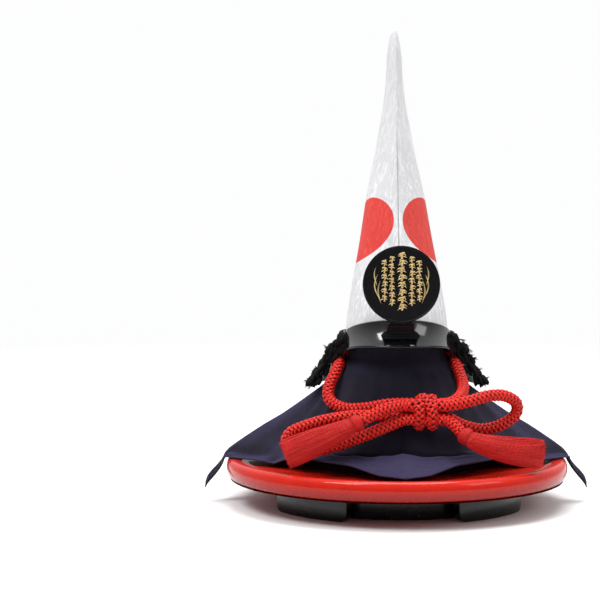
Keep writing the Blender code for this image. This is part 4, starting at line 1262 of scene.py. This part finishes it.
    def build(self) -> None:
        """Builds the cloth, its hem and the hem's stitches."""
        columns = [self.controls(self.turn(step)) for step in range(self.columns)]
        places = [step / self.hidden_steps for step in range(self.waist * self.hidden_steps)]
        places += [self.waist + step / self.shown_steps
                   for step in range(len(DRAPE_ROWS) * self.shown_steps + 1)]
        runs = [distances([smooth_value(column, place) for place in places]) for column in columns]
        rows, uvs = [], []
        for index, place in enumerate(places):
            rows.append([self.surface(columns, step, place) for step in range(self.columns)])
            uvs.append([])
            for step in range(self.columns + 1):
                turn, run = self.turn(step), runs[step % self.columns]
                edge = self.side / math.sqrt(2) / (abs(math.sin(turn)) + abs(math.cos(turn)))
                reach = run[index] / run[-1] * edge
                uvs[-1].append((reach * math.sin(turn), reach * math.cos(turn)))
        mesh = loft(rows, (0,), uvs)
        mesh.normal_update()
        mesh.faces.ensure_lookup_table()
        if mesh.faces[-1].normal.z < 0:
            bmesh.ops.reverse_faces(mesh, faces=mesh.faces)
        mesh.normal_update()
        # Painted shade: 0 where the cloth faces sideways or down, 1 where it faces up; the navy finish darkens
        # by it.
        faded = mesh.verts.layers.float.new("faded")
        for vert in mesh.verts:
            vert[faded] = smooth_step((vert.normal.z - 0.46) / 0.46)
        cloth = add_piece("draped_cloth", mesh, self.palette["navy"], ["display_cloth"])
        wall = cloth.modifiers.new("wall", "SOLIDIFY")
        wall.thickness = self.thickness
        wall.offset = 1
        wall.use_even_offset = False
        stitches = self.add_stitches(columns)

    def add_stitches(self, columns: list[list[Vector]]) -> Object:
        """A line of stitches round the cloth, a little inside its edge."""
        line, ups, outs = [], [], []
        place = self.edge - self.hem
        for step in range(self.columns):
            along = self.surface(columns, step + 1, place) - self.surface(columns, step - 1, place)
            down = self.surface(columns, step, place + 0.1) - self.surface(columns, step, place - 0.1)
            ups.append(along.normalized())
            out = ups[-1].cross(down).normalized()
            outs.append(out if out.z > 0 else -out)
            line.append(self.surface(columns, step, place) + outs[-1] * (self.thickness + 0.00005))
        thread = self.palette["navy_thread"]
        data = self.trees.lumps(
            [line], [ups], [outs], True, Count=round(distances(line)[-1] / self.stitch_spacing),
            Width=0.0006, Depth=0.0004, Height=0.0032, Unevenness=0.1, Seed=5, Material=thread)
        return add_piece("hem_stitches", data, thread)


# The helmet


@dataclass
class HelmetCap(Part):
    """The tall hollow cap in silver leaf, with a sun painted on each side."""

    wall: float = 0.002
    columns: int = 176
    hollow_rows: int = 12
    inner_step: int = 4
    crowding: float = 0.68
    lip_drop: float = 0.0005

    def build(self) -> None:
        """Builds the shell from its inner top down to the brim and up the outside to the tip."""
        evenly = [math.tau * step / self.columns for step in range(self.columns)]
        turns = [turn - self.crowding * math.sin(turn) for turn in evenly]
        outer = [[CAP.point(sizes, height, turn, CAP.sharpness(height)) for turn in turns]
                 for height, sizes in CAP.table]
        inner = []
        for height, (half_width, front, middle, back) in CAP.table[
                :(self.hollow_rows - 1) * CAP.steps + 1:self.inner_step]:
            sharp = CAP.sharpness(height)
            thin = (half_width - self.wall, front + self.wall * mix(1.0, 1.9, sharp), middle,
                    back - self.wall * mix(1.0, 1.4, sharp))
            inner.append([CAP.point(thin, height, turn, sharp) for turn in turns])
        lip = [[mix(a, b, share) - Z * (self.lip_drop * math.sin(math.pi * share))
                for a, b in zip(inner[0], outer[0])] for share in (0.2, 0.5, 0.8)]
        add_piece("cap_shell", loft(inner[::-1] + lip + outer), self.palette["silver"],
                  ["helmet_cap"], 62)


@dataclass
class Visor(Part):
    """The flared band over the brow, with a rounded rim."""

    wall: float = 0.0018
    span: float = math.radians(71)
    top_middle: float = 0.018
    top_end: float = 0.008
    low_middle: float = 0.0045
    low_end: float = 0.0150
    flare_middle: float = 0.0105
    flare_end: float = 0.0030
    fit: float = 0.0007
    rim: float = 0.00125
    rim_spacing: float = 0.0012
    stations: int = 120
    face_steps: int = 18

    def face(self, turn: float, share: float) -> Vector:
        """A point of the inner face, from the upper edge (0) to the flared lower edge (1)."""
        end = (abs(turn) / self.span) ** 2
        top = BRIM + mix(self.top_middle, self.top_end, end)
        low = BRIM - mix(self.low_middle, self.low_end, end**2)
        height = mix(top, low, share)
        flare = mix(self.flare_middle, self.flare_end, end) * max(0.0, share) ** 2.2
        sizes = CAP.sizes(height)
        return CAP.point(sizes, height, turn) + CAP.outward(sizes, turn) * (self.fit + flare)

    def outside(self, turn: float, share: float, clearance: float = 0.0) -> Vector:
        """A point of the outer face, or off it by a clearance."""
        step = 0.01
        along = self.face(turn + step, share) - self.face(turn - step, share)
        down = self.face(turn, share + step) - self.face(turn, share - step)
        return self.face(turn, share) + down.cross(along).normalized() * (self.wall + clearance)

    def within(self, turn: float, share: float) -> Vector:
        """A point a little outside the middle of the wall, where the rim runs."""
        return mix(self.face(turn, share), self.outside(turn, share), 0.55)

    def build(self) -> None:
        """Builds the band and its rim."""
        turns = [mix(-self.span, self.span, step / self.stations) for step in range(self.stations + 1)]
        shares = [step / self.face_steps for step in range(self.face_steps + 1)]
        rows = []
        for turn in turns:
            outer = [self.outside(turn, share) for share in shares]
            inner = [self.face(turn, share) for share in shares]
            rows.append(outer + inner[::-1] + [mix(outer[0], inner[0], 0.5) + Z * (self.wall * 0.35)])
        add_piece("visor_band", loft(rows), self.palette["black"], ["helmet_visor"], 40)
        order = (0.03, 0.25, 0.5, 0.75)
        edge = [self.within(-self.span, share) for share in order]
        edge += [self.within(turn, 1.0) for turn in turns]
        edge += [self.within(self.span, share) for share in reversed(order)]
        edge = spaced_points(smooth_curve(edge, 3), self.rim_spacing)
        thickness = [self.rim * smooth_step(min(index, len(edge) - 1 - index) / 4 + 0.15)
                     for index in range(len(edge))]
        black = self.palette["soft_black"]
        add_piece("visor_rim", self.trees.strands([edge], [thickness], 13, black), black)


@dataclass
class Crest(Part):
    """The round crest plate with its gold ornament, and the holder that carries it."""

    visor: Visor
    diameter: float = 0.065
    thickness: float = 0.0030
    rim: float = 0.0014
    dome: float = 0.0012
    tilt: float = math.radians(5)
    forward: float = 0.018
    rise: float = 0.0495
    half_width: float = 0.0115
    base_half_width: float = 0.0165
    tongue_rise: float = 0.009
    tongue_wall: float = 0.0026
    relief: float = 0.0008
    joint_length: float = 0.0062
    sides: int = 128

    def __post_init__(self) -> None:
        """Finds the disc's centre and its directions up and ahead."""
        self.centre = Vector((0, CAP.sizes(BRIM)[1] - self.forward, BRIM + self.rise))
        self.ahead = Vector((0, -math.cos(self.tilt), math.sin(self.tilt)))
        self.up = Vector((0, math.sin(self.tilt), math.cos(self.tilt)))

    def face_depth(self, radius: float) -> float:
        """How far the domed face stands in front of the disc's middle."""
        share = min(1.0, radius / (self.diameter / 2 - self.rim * 1.4))
        return self.thickness / 2 * 0.55 + self.dome * (1 - share**2)

    def build(self) -> None:
        """Builds the disc, its ornament and its holder."""
        self.add_disc()
        self.add_ornament()
        self.add_holder()

    def add_disc(self) -> None:
        """The disc, with a thin rounded rim round a slightly domed face."""
        radius, half, rim = self.diameter / 2, self.thickness / 2, self.rim
        inner = radius - rim * 1.4
        profile = [(0.0004, -half), (radius * 0.5, -half), (radius - half * 0.9, -half),
                   (radius - half * 0.3, -half * 0.8), (radius, -half * 0.3), (radius, half * 0.4),
                   (radius - rim * 0.15, half * 0.8), (radius - rim * 0.5, half),
                   (radius - rim * 0.85, half * 0.86), (radius - rim * 1.1, half * 0.62)]
        profile += [(inner * share, self.face_depth(inner * share)) for share in
                    (1.0, 0.97, 0.9, 0.8, 0.7, 0.6, 0.5, 0.4, 0.3, 0.2, 0.1, 0.01)]
        rows = [Ring(self.centre + self.ahead * depth, X, self.up).oval(self.sides, ring, ring)
                for ring, depth in profile]
        add_piece("crest_plate", loft(rows), self.palette["satin"], ["crest_disc"], 60)

    def ribbon(self, mesh: BMesh, line: Sequence[tuple[float, float]], widths: Sequence[float]) -> None:
        """Adds a raised ribbon to the ornament, by its middle line on the disc's face and its widths."""
        rows = []
        for index, ((x, z), width) in enumerate(zip(line, widths)):
            before, after = line[max(0, index - 1)], line[min(len(line) - 1, index + 1)]
            along = Vector((after[0] - before[0], after[1] - before[1])).normalized()
            row = []
            for share, lift in ((-1.0, -0.4), (-0.9, 0.45), (-0.5, 0.85), (0.0, 1.0), (0.5, 0.85),
                                (0.9, 0.45), (1.0, -0.4)):
                px, pz = x - along.y * width / 2 * share, z + along.x * width / 2 * share
                depth = self.face_depth(math.hypot(px, pz))
                depth += self.relief * lift * min(1.0, width / 0.0012 + 0.35)
                row.append(self.centre + X * px + self.up * pz + self.ahead * depth)
            rows.append(row)
        absorb(mesh, loft(rows))

    def add_ornament(self) -> None:
        """Five upright jointed stems with slender leaves, between two sprays of long leaves."""
        mesh = bmesh.new()
        rng = random.Random(4)
        stems = ((-0.0142, 0.0205, -0.0150, 0.0013), (-0.0080, 0.0235, -0.0185, 0.0013),
                 (0.0006, 0.0268, -0.0225, 0.0019), (0.0090, 0.0235, -0.0185, 0.0013),
                 (0.0151, 0.0200, -0.0150, 0.0013))
        for number, (x, top, low, width) in enumerate(stems):
            joints = round((top - low) / self.joint_length)
            for joint in range(joints):
                start, stop = mix(top, low, joint / joints), mix(top, low, (joint + 0.92) / joints)
                lean = rng.uniform(-0.0003, 0.0003)
                line = [(x + lean + 0.0003 * math.sin(step * 0.4 + number), mix(start, stop, step / 8))
                        for step in range(9)]
                widths = [width * (1.0 + 0.5 * abs(step / 4 - 1) ** 5) * (0.4 if step in (0, 8) else 1.0)
                          for step in range(9)]
                self.ribbon(mesh, line, widths)
                side = 1 if (joint + number) % 2 else -1
                for way, angle, share, down in (
                    (side, -0.25, 1.0, 0.0), (side, -0.95, 0.72, 0.0), (-side, -0.55, 0.85, 0.0),
                    (-side, 0.45, 0.5, 0.0), (side, 0.15, 0.80, 0.5), (-side, -0.20, 0.95, 0.5),
                ):
                    root = (x + lean + way * width * 0.3, mix(start, stop, down) - 0.0004)
                    self.add_leaf(mesh, root, way, angle + rng.uniform(-0.15, 0.15),
                                  width * 2.2 * share * rng.uniform(0.85, 1.15))
        for way in (-1, 1):
            for inset, high, low, bow in (
                (0.0000, 0.0150, -0.0010, 0.0016), (0.0012, 0.0080, -0.0120, 0.0026),
                (0.0034, 0.0030, -0.0165, 0.0018),
            ):
                shares = [step / 12 for step in range(13)]
                line = [(way * (0.0212 - inset + bow * math.sin(share * math.pi * 1.15)),
                         mix(high, low, share)) for share in shares]
                self.ribbon(mesh, line, [0.00015 + 0.0011 * math.sin(math.pi * (share * 0.92 + 0.05)) ** 1.5
                                         for share in shares])
        bmesh.ops.recalc_face_normals(mesh, faces=mesh.faces)
        add_piece("crest_ornament", mesh, self.palette["gold"], (), 50)

    def add_leaf(self, mesh: BMesh, root: tuple[float, float], way: int, angle: float,
                 length: float) -> None:
        """Adds a slender pointed leaf to the ornament.

        Args:
            mesh: The ornament so far.
            root: Where it grows on the disc.
            way: -1 to the left or 1 to the right.
            angle: Its rise from level, in radians.
            length: Its length.
        """
        line, widths = [], []
        x, z = root
        for step in range(7):
            share = step / 6
            line.append((x, z))
            widths.append(0.00012 + 0.00068 * math.sin(math.pi * (share * 0.9 + 0.08)))
            turn = angle - 0.8 * share
            x += way * math.cos(turn) * length / 6
            z += math.sin(turn) * length / 6
        self.ribbon(mesh, line, widths)

    def add_holder(self) -> None:
        """The block on the visor, with a wider base and a tongue up behind the disc."""
        block_top = (self.centre - self.up * (self.diameter / 2)).z - GAP * 2
        visor_top = BRIM + self.visor.top_middle
        face = self.centre - self.ahead * (self.thickness / 2 + GAP)
        shares = [step / 6 - 1 for step in range(13)]
        rows = []
        for height, half_width, depth in (
            (visor_top - 0.0150, self.base_half_width * 0.94, 0.0035),
            (visor_top - 0.0122, self.base_half_width, 0.0042),
            (visor_top - 0.0095, self.base_half_width * 0.86, 0.0046),
            (visor_top - 0.0080, self.half_width, 0.0072),
            (mix(visor_top - 0.0080, block_top, 0.75), self.half_width, 0.0118),
        ):
            crown = self.back_line(height, 0) - depth
            rows.append([Vector((half_width * share, self.back_line(height, half_width * share), height))
                         for share in shares])
            rows[-1] += [Vector((half_width * share, crown + 0.0010 * share ** 2, height))
                         for share in reversed(shares)]
        for height, half_width, wall in (
            (block_top, self.half_width * 0.9, self.tongue_wall * 2),
            (block_top + self.tongue_rise * 0.3, self.half_width * 0.75, self.tongue_wall),
            (block_top + self.tongue_rise, self.half_width * 0.6, self.tongue_wall * 0.8),
        ):
            plane = face.y + (height - self.centre.z) * math.tan(self.tilt)
            rows.append([Vector((half_width * share, plane + wall, height)) for share in shares]
                        + [Vector((half_width * share, plane, height)) for share in reversed(shares)])
        holder = add_piece("crest_holder_block", loft(rows), self.palette["satin"],
                           ["crest_holder"], 30)
        soften = holder.modifiers.new("soft edges", "BEVEL")
        soften.width = 0.0006
        soften.segments = 3
        soften.limit_method = "ANGLE"
        soften.angle_limit = math.radians(28)
        soften.harden_normals = True

    def back_line(self, height: float, x: float) -> float:
        """The y of the visor's outside, with the gap, at a height and a distance from the middle."""
        turn, share = x / CAP.half_width, 0.5
        for _ in range(12):
            point = self.visor.outside(turn, share, GAP * 2)
            turn += (x - point.x) / CAP.half_width
            share += (point.z - height) / (self.visor.top_middle + self.visor.low_middle)
        return point.y


@dataclass
class NeckGuard(Part):
    """Five lames round the back, each with a row of upright lacing cords."""

    count: int = 5
    wall: float = 0.0012
    bead: float = 0.0006
    span: float = math.radians(105)
    span_step: float = math.radians(1)
    seat: float = 0.0008
    slope: float = 0.25
    top_rise: float = 0.006
    pitch: float = 0.0085
    first_height: float = 0.010
    height_gain: float = 0.00125
    lacing_depth: float = 0.0020
    hem: float = 0.0012
    cord_width: float = 0.0036
    end_cords: int = 6
    end_reach: tuple[float, ...] = (0.0058, 0.0084, 0.0064, 0.0048, 0.0060)
    loose_count: int = 7
    loose_radius: float = 0.00034
    stations: int = 120

    def edges(self, index: int) -> tuple[float, float]:
        """The heights of a lame's upper and lower edge."""
        top = BRIM + self.top_rise - index * self.pitch
        return top, top - self.first_height - index * self.height_gain

    def point(self, index: int, turn: float, height: float, extra: float) -> Vector:
        """A point off the inner face of a lame."""
        step = self.wall + self.lacing_depth + GAP * 2 + self.slope * self.pitch
        lean = (self.edges(index)[0] - height) * self.slope
        return CAP.point(CAP.sizes(BRIM), height, turn) + CAP.outward(CAP.sizes(height), turn) * (
            self.seat + index * step + lean + extra)

    def upright(self, index: int, turn: float, top: float, low: float, extra: float) -> Vector:
        """The direction up along a lame."""
        return (self.point(index, turn, top, extra) - self.point(index, turn, low, extra)).normalized()

    def build(self) -> None:
        """Builds each lame and its lacing."""
        for index in range(self.count):
            self.add_lame(index)
            self.add_lacing(index)
        self.add_end_cords()

    def turns(self, index: int) -> list[float]:
        """The turns of a lame's stations, from one end to the other."""
        span = self.span - index * self.span_step
        return [math.pi + span * mix(-1, 1, step / self.stations) for step in range(self.stations + 1)]

    def add_lame(self, index: int) -> None:
        """One curved plate, with a beaded lower edge."""
        (top, low), wall, bead = self.edges(index), self.wall, self.bead
        outline = ((top, wall * 0.8), (top - 0.0004, wall), (mix(top, low, 0.5), wall), (low + 0.0016, wall),
                   (low + 0.0011, wall + bead * 0.7), (low + 0.0005, wall + bead), (low, wall * 0.7),
                   (low, wall * 0.2), (low + 0.0003, 0.0), (mix(top, low, 0.5), 0.0), (top - 0.0002, 0.0),
                   (top, wall * 0.3))
        rows = [[self.point(index, turn, height, extra) for height, extra in outline]
                for turn in self.turns(index)]
        add_piece(f"guard_lame_{index + 1}", loft(rows), self.palette["soft_black"],
                  [f"neck_lame_{index + 1}"], 50)

    def add_lacing(self, index: int) -> None:
        """The upright cords side by side on one lame."""
        top, low = self.edges(index)
        top, low = top - self.hem / 2, low + self.hem
        middle = mix(top, low, 0.5)
        extra = self.wall + GAP + self.lacing_depth * 0.5
        turns = self.turns(index)[1:-1]
        line = [self.point(index, turn, middle, extra) for turn in turns]
        ups = [self.upright(index, turn, top, low, extra) for turn in turns]
        outs = [CAP.outward(CAP.sizes(middle), turn) for turn in turns]
        silk = self.palette["black_silk"]
        data = self.trees.lumps(
            [line], [ups], [outs], Count=round(distances(line)[-1] / (self.cord_width * 0.93)),
            Width=self.cord_width, Depth=self.lacing_depth * 2.0, Height=(top - low) * 1.10, Unevenness=0.07,
            Seed=11 + index, Material=silk)
        add_piece(f"lacing_row_{index + 1}", data, silk, [f"neck_lacing_{index + 1}"])

    def add_end_cords(self) -> None:
        """The thick cords that bind both ends of each lame, with frayed tufts."""
        rng = random.Random(23)
        chains, ups, outs, loose = [], [], [], []
        for index in range(self.count):
            top, low = self.edges(index)
            middle = mix(top, low, 0.52)
            root_depth = mix(-0.0046, -0.0026, index / (self.count - 1))
            for end, inward in ((0, 1), (-1, -1)):
                chain, up_row, out_row = [], [], []
                for step in range(self.end_cords):
                    turn = self.turns(index)[end] + inward * math.radians(rng.uniform(-1.6, 2.2))
                    extra = mix(root_depth, self.end_reach[index], step / (self.end_cords - 1))
                    out = CAP.outward(CAP.sizes(middle), turn)
                    side = Vector((out.y, -out.x, 0)) * inward
                    lean = side * rng.uniform(-0.55, 0.60) + out * rng.uniform(-0.55, 0.15)
                    chain.append(self.point(index, turn, middle - rng.uniform(0, 0.0016), extra))
                    up_row.append((self.upright(index, turn, top, low, extra) + lean).normalized())
                    out_row.append(out)
                chains.append(chain)
                ups.append(up_row)
                outs.append(out_row)
                for root in chain[2:]:
                    loose += self.tuft(rng, root, out_row[0])
        silk = self.palette["black_silk"]
        data = self.trees.lumps(chains, ups, outs, Count=self.end_cords, Width=0.0048, Depth=0.0036,
                                Height=0.0116, Unevenness=0.30, Seed=41, Material=silk)
        add_piece("lacing_end_cords", data, silk)
        thickness = [[self.loose_radius * mix(1.0, 0.4, step / (len(thread) - 1))
                      for step in range(len(thread))] for thread in loose]
        add_piece("lacing_end_threads", self.trees.strands(loose, thickness, 5, silk), silk)

    def tuft(self, rng: random.Random, root: Vector, out: Vector) -> list[list[Vector]]:
        """Threads that have come loose together, which leave a cord and bend down.

        Args:
            rng: The source of their random lengths and leans.
            root: The point of the cord that they leave.
            out: The direction away from the helmet there.

        Returns:
            Each thread's points.
        """
        lean = out * rng.uniform(0.4, 1.2) + Vector((0, rng.uniform(-1.0, 0.3), rng.uniform(-1.1, 0.9)))
        lean = lean.normalized() * rng.uniform(0.0056, 0.0098)
        drop = Z * (-0.0030 * rng.random())
        threads = []
        for _ in range(self.loose_count):
            own = lean * rng.uniform(0.75, 1.1) + Vector([rng.uniform(-0.0013, 0.0013) for _ in range(3)])
            threads.append([root + own * (step / 7) + drop * (step / 7) ** 2 for step in range(8)])
        return threads


# The cord


@dataclass
class Braid:
    """The round braided cord."""

    diameter: float = 0.0103
    strands: int = 4
    pitch: float = 0.0156
    middle_radius: float = 0.00335
    wave: float = 0.00062
    strand_radius: float = 0.00142
    heart_radius: float = 0.00225
    samples: int = 32
    points_round: int = 7

    def mesh(self, points: Sequence[Vector], trees: Trees, material: Material, up: Vector = Z) -> Mesh:
        """The braid round its plain heart, with each point's distance from the middle as its depth.

        Args:
            points: The cord's middle line.
            trees: The node trees.
            material: The cord's finish.
            up: A direction across the line at its start.

        Returns:
            The mesh.
        """
        rings = rings_along(spaced_points(points, self.pitch / self.samples), up)
        middle = [ring.centre for ring in rings]
        spacing = distances(middle)[-1] / (len(middle) - 1)
        chains = []
        for spin in Spin:
            for strand in range(self.strands):
                chains.append([])
                for index, ring in enumerate(rings):
                    travel = math.tau * index * spacing / self.pitch
                    radius = self.middle_radius + spin.value * self.wave * math.cos(self.strands * travel)
                    angle = math.tau * strand / self.strands + spin.value * travel
                    chains[-1].append(ring.at(angle, radius, radius))
        thickness = [[self.strand_radius] * len(rings) for _ in chains] + [[self.heart_radius] * len(rings)]
        data = trees.strands([*chains, middle], thickness, self.points_round, material)
        tree = KDTree(len(middle))
        for index, point in enumerate(middle):
            tree.insert(point, index)
        tree.balance()
        # The depth carries the painted shade between the strands.
        reach = self.middle_radius + self.wave + self.strand_radius
        depths = [min(1.0, tree.find(vertex.co)[2] / reach) for vertex in data.vertices]
        data.attributes.new("depth", "FLOAT", "POINT").data.foreach_set("value", depths)
        return data


@dataclass
class Tassel(Part):
    """A tassel: a bound head and a skirt of loose threads."""

    side: Side
    tail: Route
    end: Point
    length: float = 0.070
    head_radius: float = 0.0072
    half_height: float = 0.0130
    half_depth: float = 0.0085
    neck: float = 0.17
    threads: int = 300
    thread_radius: float = 0.00042
    thread_steps: int = 14
    bind_turns: int = 11
    bind_steps: int = 24
    bind_radius: float = 0.00050
    sides: int = 40

    def middle(self, along: float) -> Ring:
        """A place on the tassel's middle line, with the directions of its depth and height."""
        last = Vector(self.tail[-1])
        start_way = (last - Vector(self.tail[-2])).normalized()
        start = last + start_way * GAP
        end = start + (Vector(self.end) - start).normalized() * self.length
        bend = start + start_way * self.length * 0.3
        centre = start.lerp(bend, along).lerp(bend.lerp(end, along), along)
        tangent = ((bend - start) * (1 - along) + (end - bend) * along).normalized()
        flat = tangent.cross(Z).normalized()
        return Ring(centre, flat, flat.cross(tangent).normalized())

    def half_sizes(self, along: float, share: float) -> tuple[float, float]:
        """A share of the tassel's half depth and half height."""
        skirt = smooth_step((along - self.neck) / 0.8) ** 0.75
        waist = 1 - 0.14 * math.exp(-((along - self.neck) / 0.03) ** 2)
        head = self.head_radius * waist * min(1.0, 0.72 + 5.0 * along)
        return mix(head, self.half_depth, skirt) * share, mix(head, self.half_height, skirt) * share

    def thread(self, index: int, rng: random.Random) -> list[Vector]:
        """One thread of the skirt."""
        angle = math.tau * (index + rng.uniform(-0.4, 0.4)) / self.threads * 3.0
        inner = rng.uniform(0.88, 1.0) if index < self.threads * 0.8 else rng.uniform(0.15, 0.88)
        stop = rng.uniform(0.965, 1.0)
        sway, phase = rng.uniform(0.004, 0.03), rng.uniform(0, math.tau)
        points = []
        for step in range(self.thread_steps + 1):
            share = step / self.thread_steps
            along = mix(self.neck - 0.01, stop, share)
            here = angle + sway * 6 * math.sin(share * 5.0 + phase) * share
            spread = inner * (0.93 + sway * math.sin(share * 7 + phase))
            points.append(self.middle(along).at(here, *self.half_sizes(along, spread)))
        return points

    def build(self) -> Object:
        """Builds the solid bundle, the threads on it and the binding round its head."""
        rng = random.Random(7 + self.side.value)
        places = [step / self.sides * 0.985 for step in range(self.sides + 1)]
        body = loft([self.middle(along).oval(self.sides, *self.half_sizes(along, 0.90)) for along in places])
        chains = [self.thread(index, rng) for index in range(self.threads)]
        tip, middle = self.thread_radius * 0.25, self.thread_radius
        thickness = [[tip, *[middle] * (self.thread_steps - 1), tip] for _ in chains]
        binding = []
        for step in range(self.bind_turns * self.bind_steps + 1):
            turn = step / self.bind_steps
            along = mix(0.028, self.neck, turn / self.bind_turns)
            binding.append(self.middle(along).at(math.tau * turn, *self.half_sizes(along, 0.97)))
        silk = self.palette["red_thread"]
        thickness.append([self.bind_radius] * len(binding))
        body.from_mesh(self.trees.strands([*chains, binding], thickness, 6, silk))
        word = self.side.name.lower()
        return add_piece(f"cord_tassel_{word}", body, silk, [f"tassel_{word}"])


@dataclass
class ChinCord(Part):
    """The chin cord: two braided halves, tied in a bow, with a tassel on each end."""

    braid: Braid
    knot_centre: Point = (0.0200, -0.0800, 0.0890)
    wrap_half_depth: float = 0.0083
    wrap_half_height: float = 0.0108
    wrap_spacing: float = 0.0108
    wrap_steps: int = 96
    spacing: float = 0.0015
    path_steps: int = 40

    def wrap(self) -> list[Vector]:
        """The line of the two turns round the knot, with its ends tucked in."""
        points = []
        for step in range(self.wrap_steps + 1):
            turn = mix(-0.12, 2.12, step / self.wrap_steps)
            tuck = smooth_step((0.12 - turn) / 0.24) + smooth_step((turn - 1.88) / 0.24)
            angle = math.tau * turn + math.pi * 0.62
            size = 1 - 0.55 * tuck
            across = self.wrap_spacing * (smooth_step((turn - 0.75) / 0.5) - 0.5) * (1 - 0.3 * tuck)
            ring = Ring(Vector(self.knot_centre) + X * across, Y, Z)
            points.append(ring.at(angle, self.wrap_half_depth * size, self.wrap_half_height * size))
        return points

    def build(self) -> None:
        """Builds both halves, the wraps of the knot and the tassels."""
        silk = self.palette["red_silk"]
        wraps = add_piece("knot_wraps", self.braid.mesh(self.wrap(), self.trees, silk, X), silk,
                          ["bow_knot"])
        tassels = [Tassel(self.palette, self.trees, side, tail, end).build() for side, tail, end in (
            (Side.LEFT, TAIL_LEFT, (-0.0965, -0.1010, 0.0560)),
            (Side.RIGHT, TAIL_RIGHT, (0.1150, -0.0930, 0.0560)))]
        self.add_half("cord_half_left", (CHIN_LEFT, LOOP_RIGHT, TAIL_LEFT),
                      ["cord_chin_left", "cord_loop_right", "cord_tail_left"], [tassels[0], wraps])
        self.add_half("cord_half_right", (CHIN_RIGHT, LOOP_LEFT, TAIL_RIGHT),
                      ["cord_chin_right", "cord_loop_left", "cord_tail_right"], [tassels[1]])

    def add_half(self, name: str, routes: tuple[Route, Route, Route], replaced: Sequence[str],
                 ends: Sequence[Object]) -> None:
        """Builds and declares one half of the cord, from behind the core to its tassel.

        Args:
            name: The piece's name.
            routes: Its chin stretch, its loop and its tail, with the knot between them.
            replaced: The model's nodes that it stands for.
            ends: The pieces on it; not used.
        """
        line = spaced_points([point for route in routes for point in smooth_curve(route)], self.spacing)
        length = distances(line)[-1]
        silk = self.palette["red_silk"]
        cord = add_piece(name, self.braid.mesh(line, self.trees, silk), silk, replaced)
        path = [tuple(point) for point in spaced_points(line, length / self.path_steps)]
        LOG.info("%s is %.3f m long", name, length)


# The studio


@dataclass
class Studio:
    """A plain pale floor that fades into the backdrop, soft lights and the camera."""

    floor_colour: Colour = (0.88, 0.88, 0.88)
    floor_radius: float = 2.4
    backdrop: Colour = (0.995, 0.998, 1.0)
    backdrop_strength: float = 0.99
    sky_low: float = 0.08
    sky_top: float = 0.52
    sky_back: float = 0.50
    lit_point: Point = (0.0, 0.0, 0.18)
    camera_place: Point = (-0.085, -1.500, 0.256)
    camera_pitch: float = math.radians(-2.95)
    lens: float = 102.3

    def build(self) -> None:
        """Builds the floor, the backdrop, the lights and the camera."""
        self.add_floor()
        self.set_backdrop()
        self.add_light("key", (-1.2, -1.1, 2.2), 1.0, 40.0)
        self.add_light("fill", (1.7, -1.0, 1.3), 1.0, 10.0)
        self.add_light("top", (0.1, 0.0, 2.2), 1.3, 37.0)
        self.add_camera()
        bpy.context.scene.view_settings.view_transform = "Standard"

    def add_floor(self) -> None:
        """The floor, a wide round sheet whose edge fades away."""
        mesh = bmesh.new()
        bmesh.ops.create_circle(mesh, cap_ends=True, radius=self.floor_radius, segments=96)
        floor = add_object("studio_floor", plain_mesh("studio_floor", mesh))
        look = Look("studio floor", None, Roughness=0.7, Specular_IOR_Level=0.2,
                    Base_Color=self.floor_colour)
        distance = look.read("ShaderNodeVectorMath", {0: look.place()}, "Value", operation="LENGTH")
        look.set(Alpha=look.span(distance, 0.7, 2.2, 1.0, 0.0))
        floor.data.materials.append(look.material)

    def set_backdrop(self) -> None:
        """A pale backdrop, which lights the helmet more from above and from behind."""
        world = bpy.data.worlds.new("studio")
        world.use_nodes = True
        sketch = Sketch(world.node_tree)
        _, y, z = sketch.split(sketch.read("ShaderNodeTexCoord"))
        high, behind = sketch.span(z, -0.1, 0.9), sketch.span(y, -0.6, 0.6)
        dim = high * self.sky_top + behind * self.sky_back + self.sky_low
        seen = sketch.read("ShaderNodeLightPath", output="Is Camera Ray")
        sky = world.node_tree.nodes["Background"]
        sketch.plug(sky.inputs["Color"], self.backdrop)
        sketch.plug(sky.inputs["Strength"],
                    sketch.read("ShaderNodeMix", {0: seen, 2: dim, 3: self.backdrop_strength}))
        bpy.context.scene.world = world

    def add_light(self, name: str, place: Point, size: float, power: float) -> None:
        """A square soft light of this size and power in watts, which faces the helmet."""
        data = bpy.data.lights.new(name, "AREA")
        data.size = size
        data.energy = power
        light = add_object(name, data)
        light.location = place
        light.rotation_euler = (Vector(self.lit_point) - Vector(place)).to_track_quat("-Z", "Y").to_euler()

    def add_camera(self) -> None:
        """The camera at the viewing angle of the picture."""
        data = bpy.data.cameras.new("camera")
        data.sensor_width = 36.0
        data.lens = self.lens
        data.clip_end = 60.0
        camera = add_object("camera", data)
        camera.location = self.camera_place
        camera.rotation_euler = (math.pi / 2 + self.camera_pitch, 0, 0)
        bpy.context.scene.camera = camera


def main() -> None:
    """Builds the finishes, the stand, the helmet, the cord and the studio."""
    logging.basicConfig(level=logging.INFO, format="%(message)s")
    palette, trees = Palette(), Trees()
    Stand(palette, trees).build()
    Cloth(palette, trees).build()
    HelmetCap(palette, trees).build()
    visor = Visor(palette, trees)
    visor.build()
    Crest(palette, trees, visor).build()
    NeckGuard(palette, trees).build()
    ChinCord(palette, trees, Braid()).build()
    Studio().build()


if __name__ == "__main__":
    main()
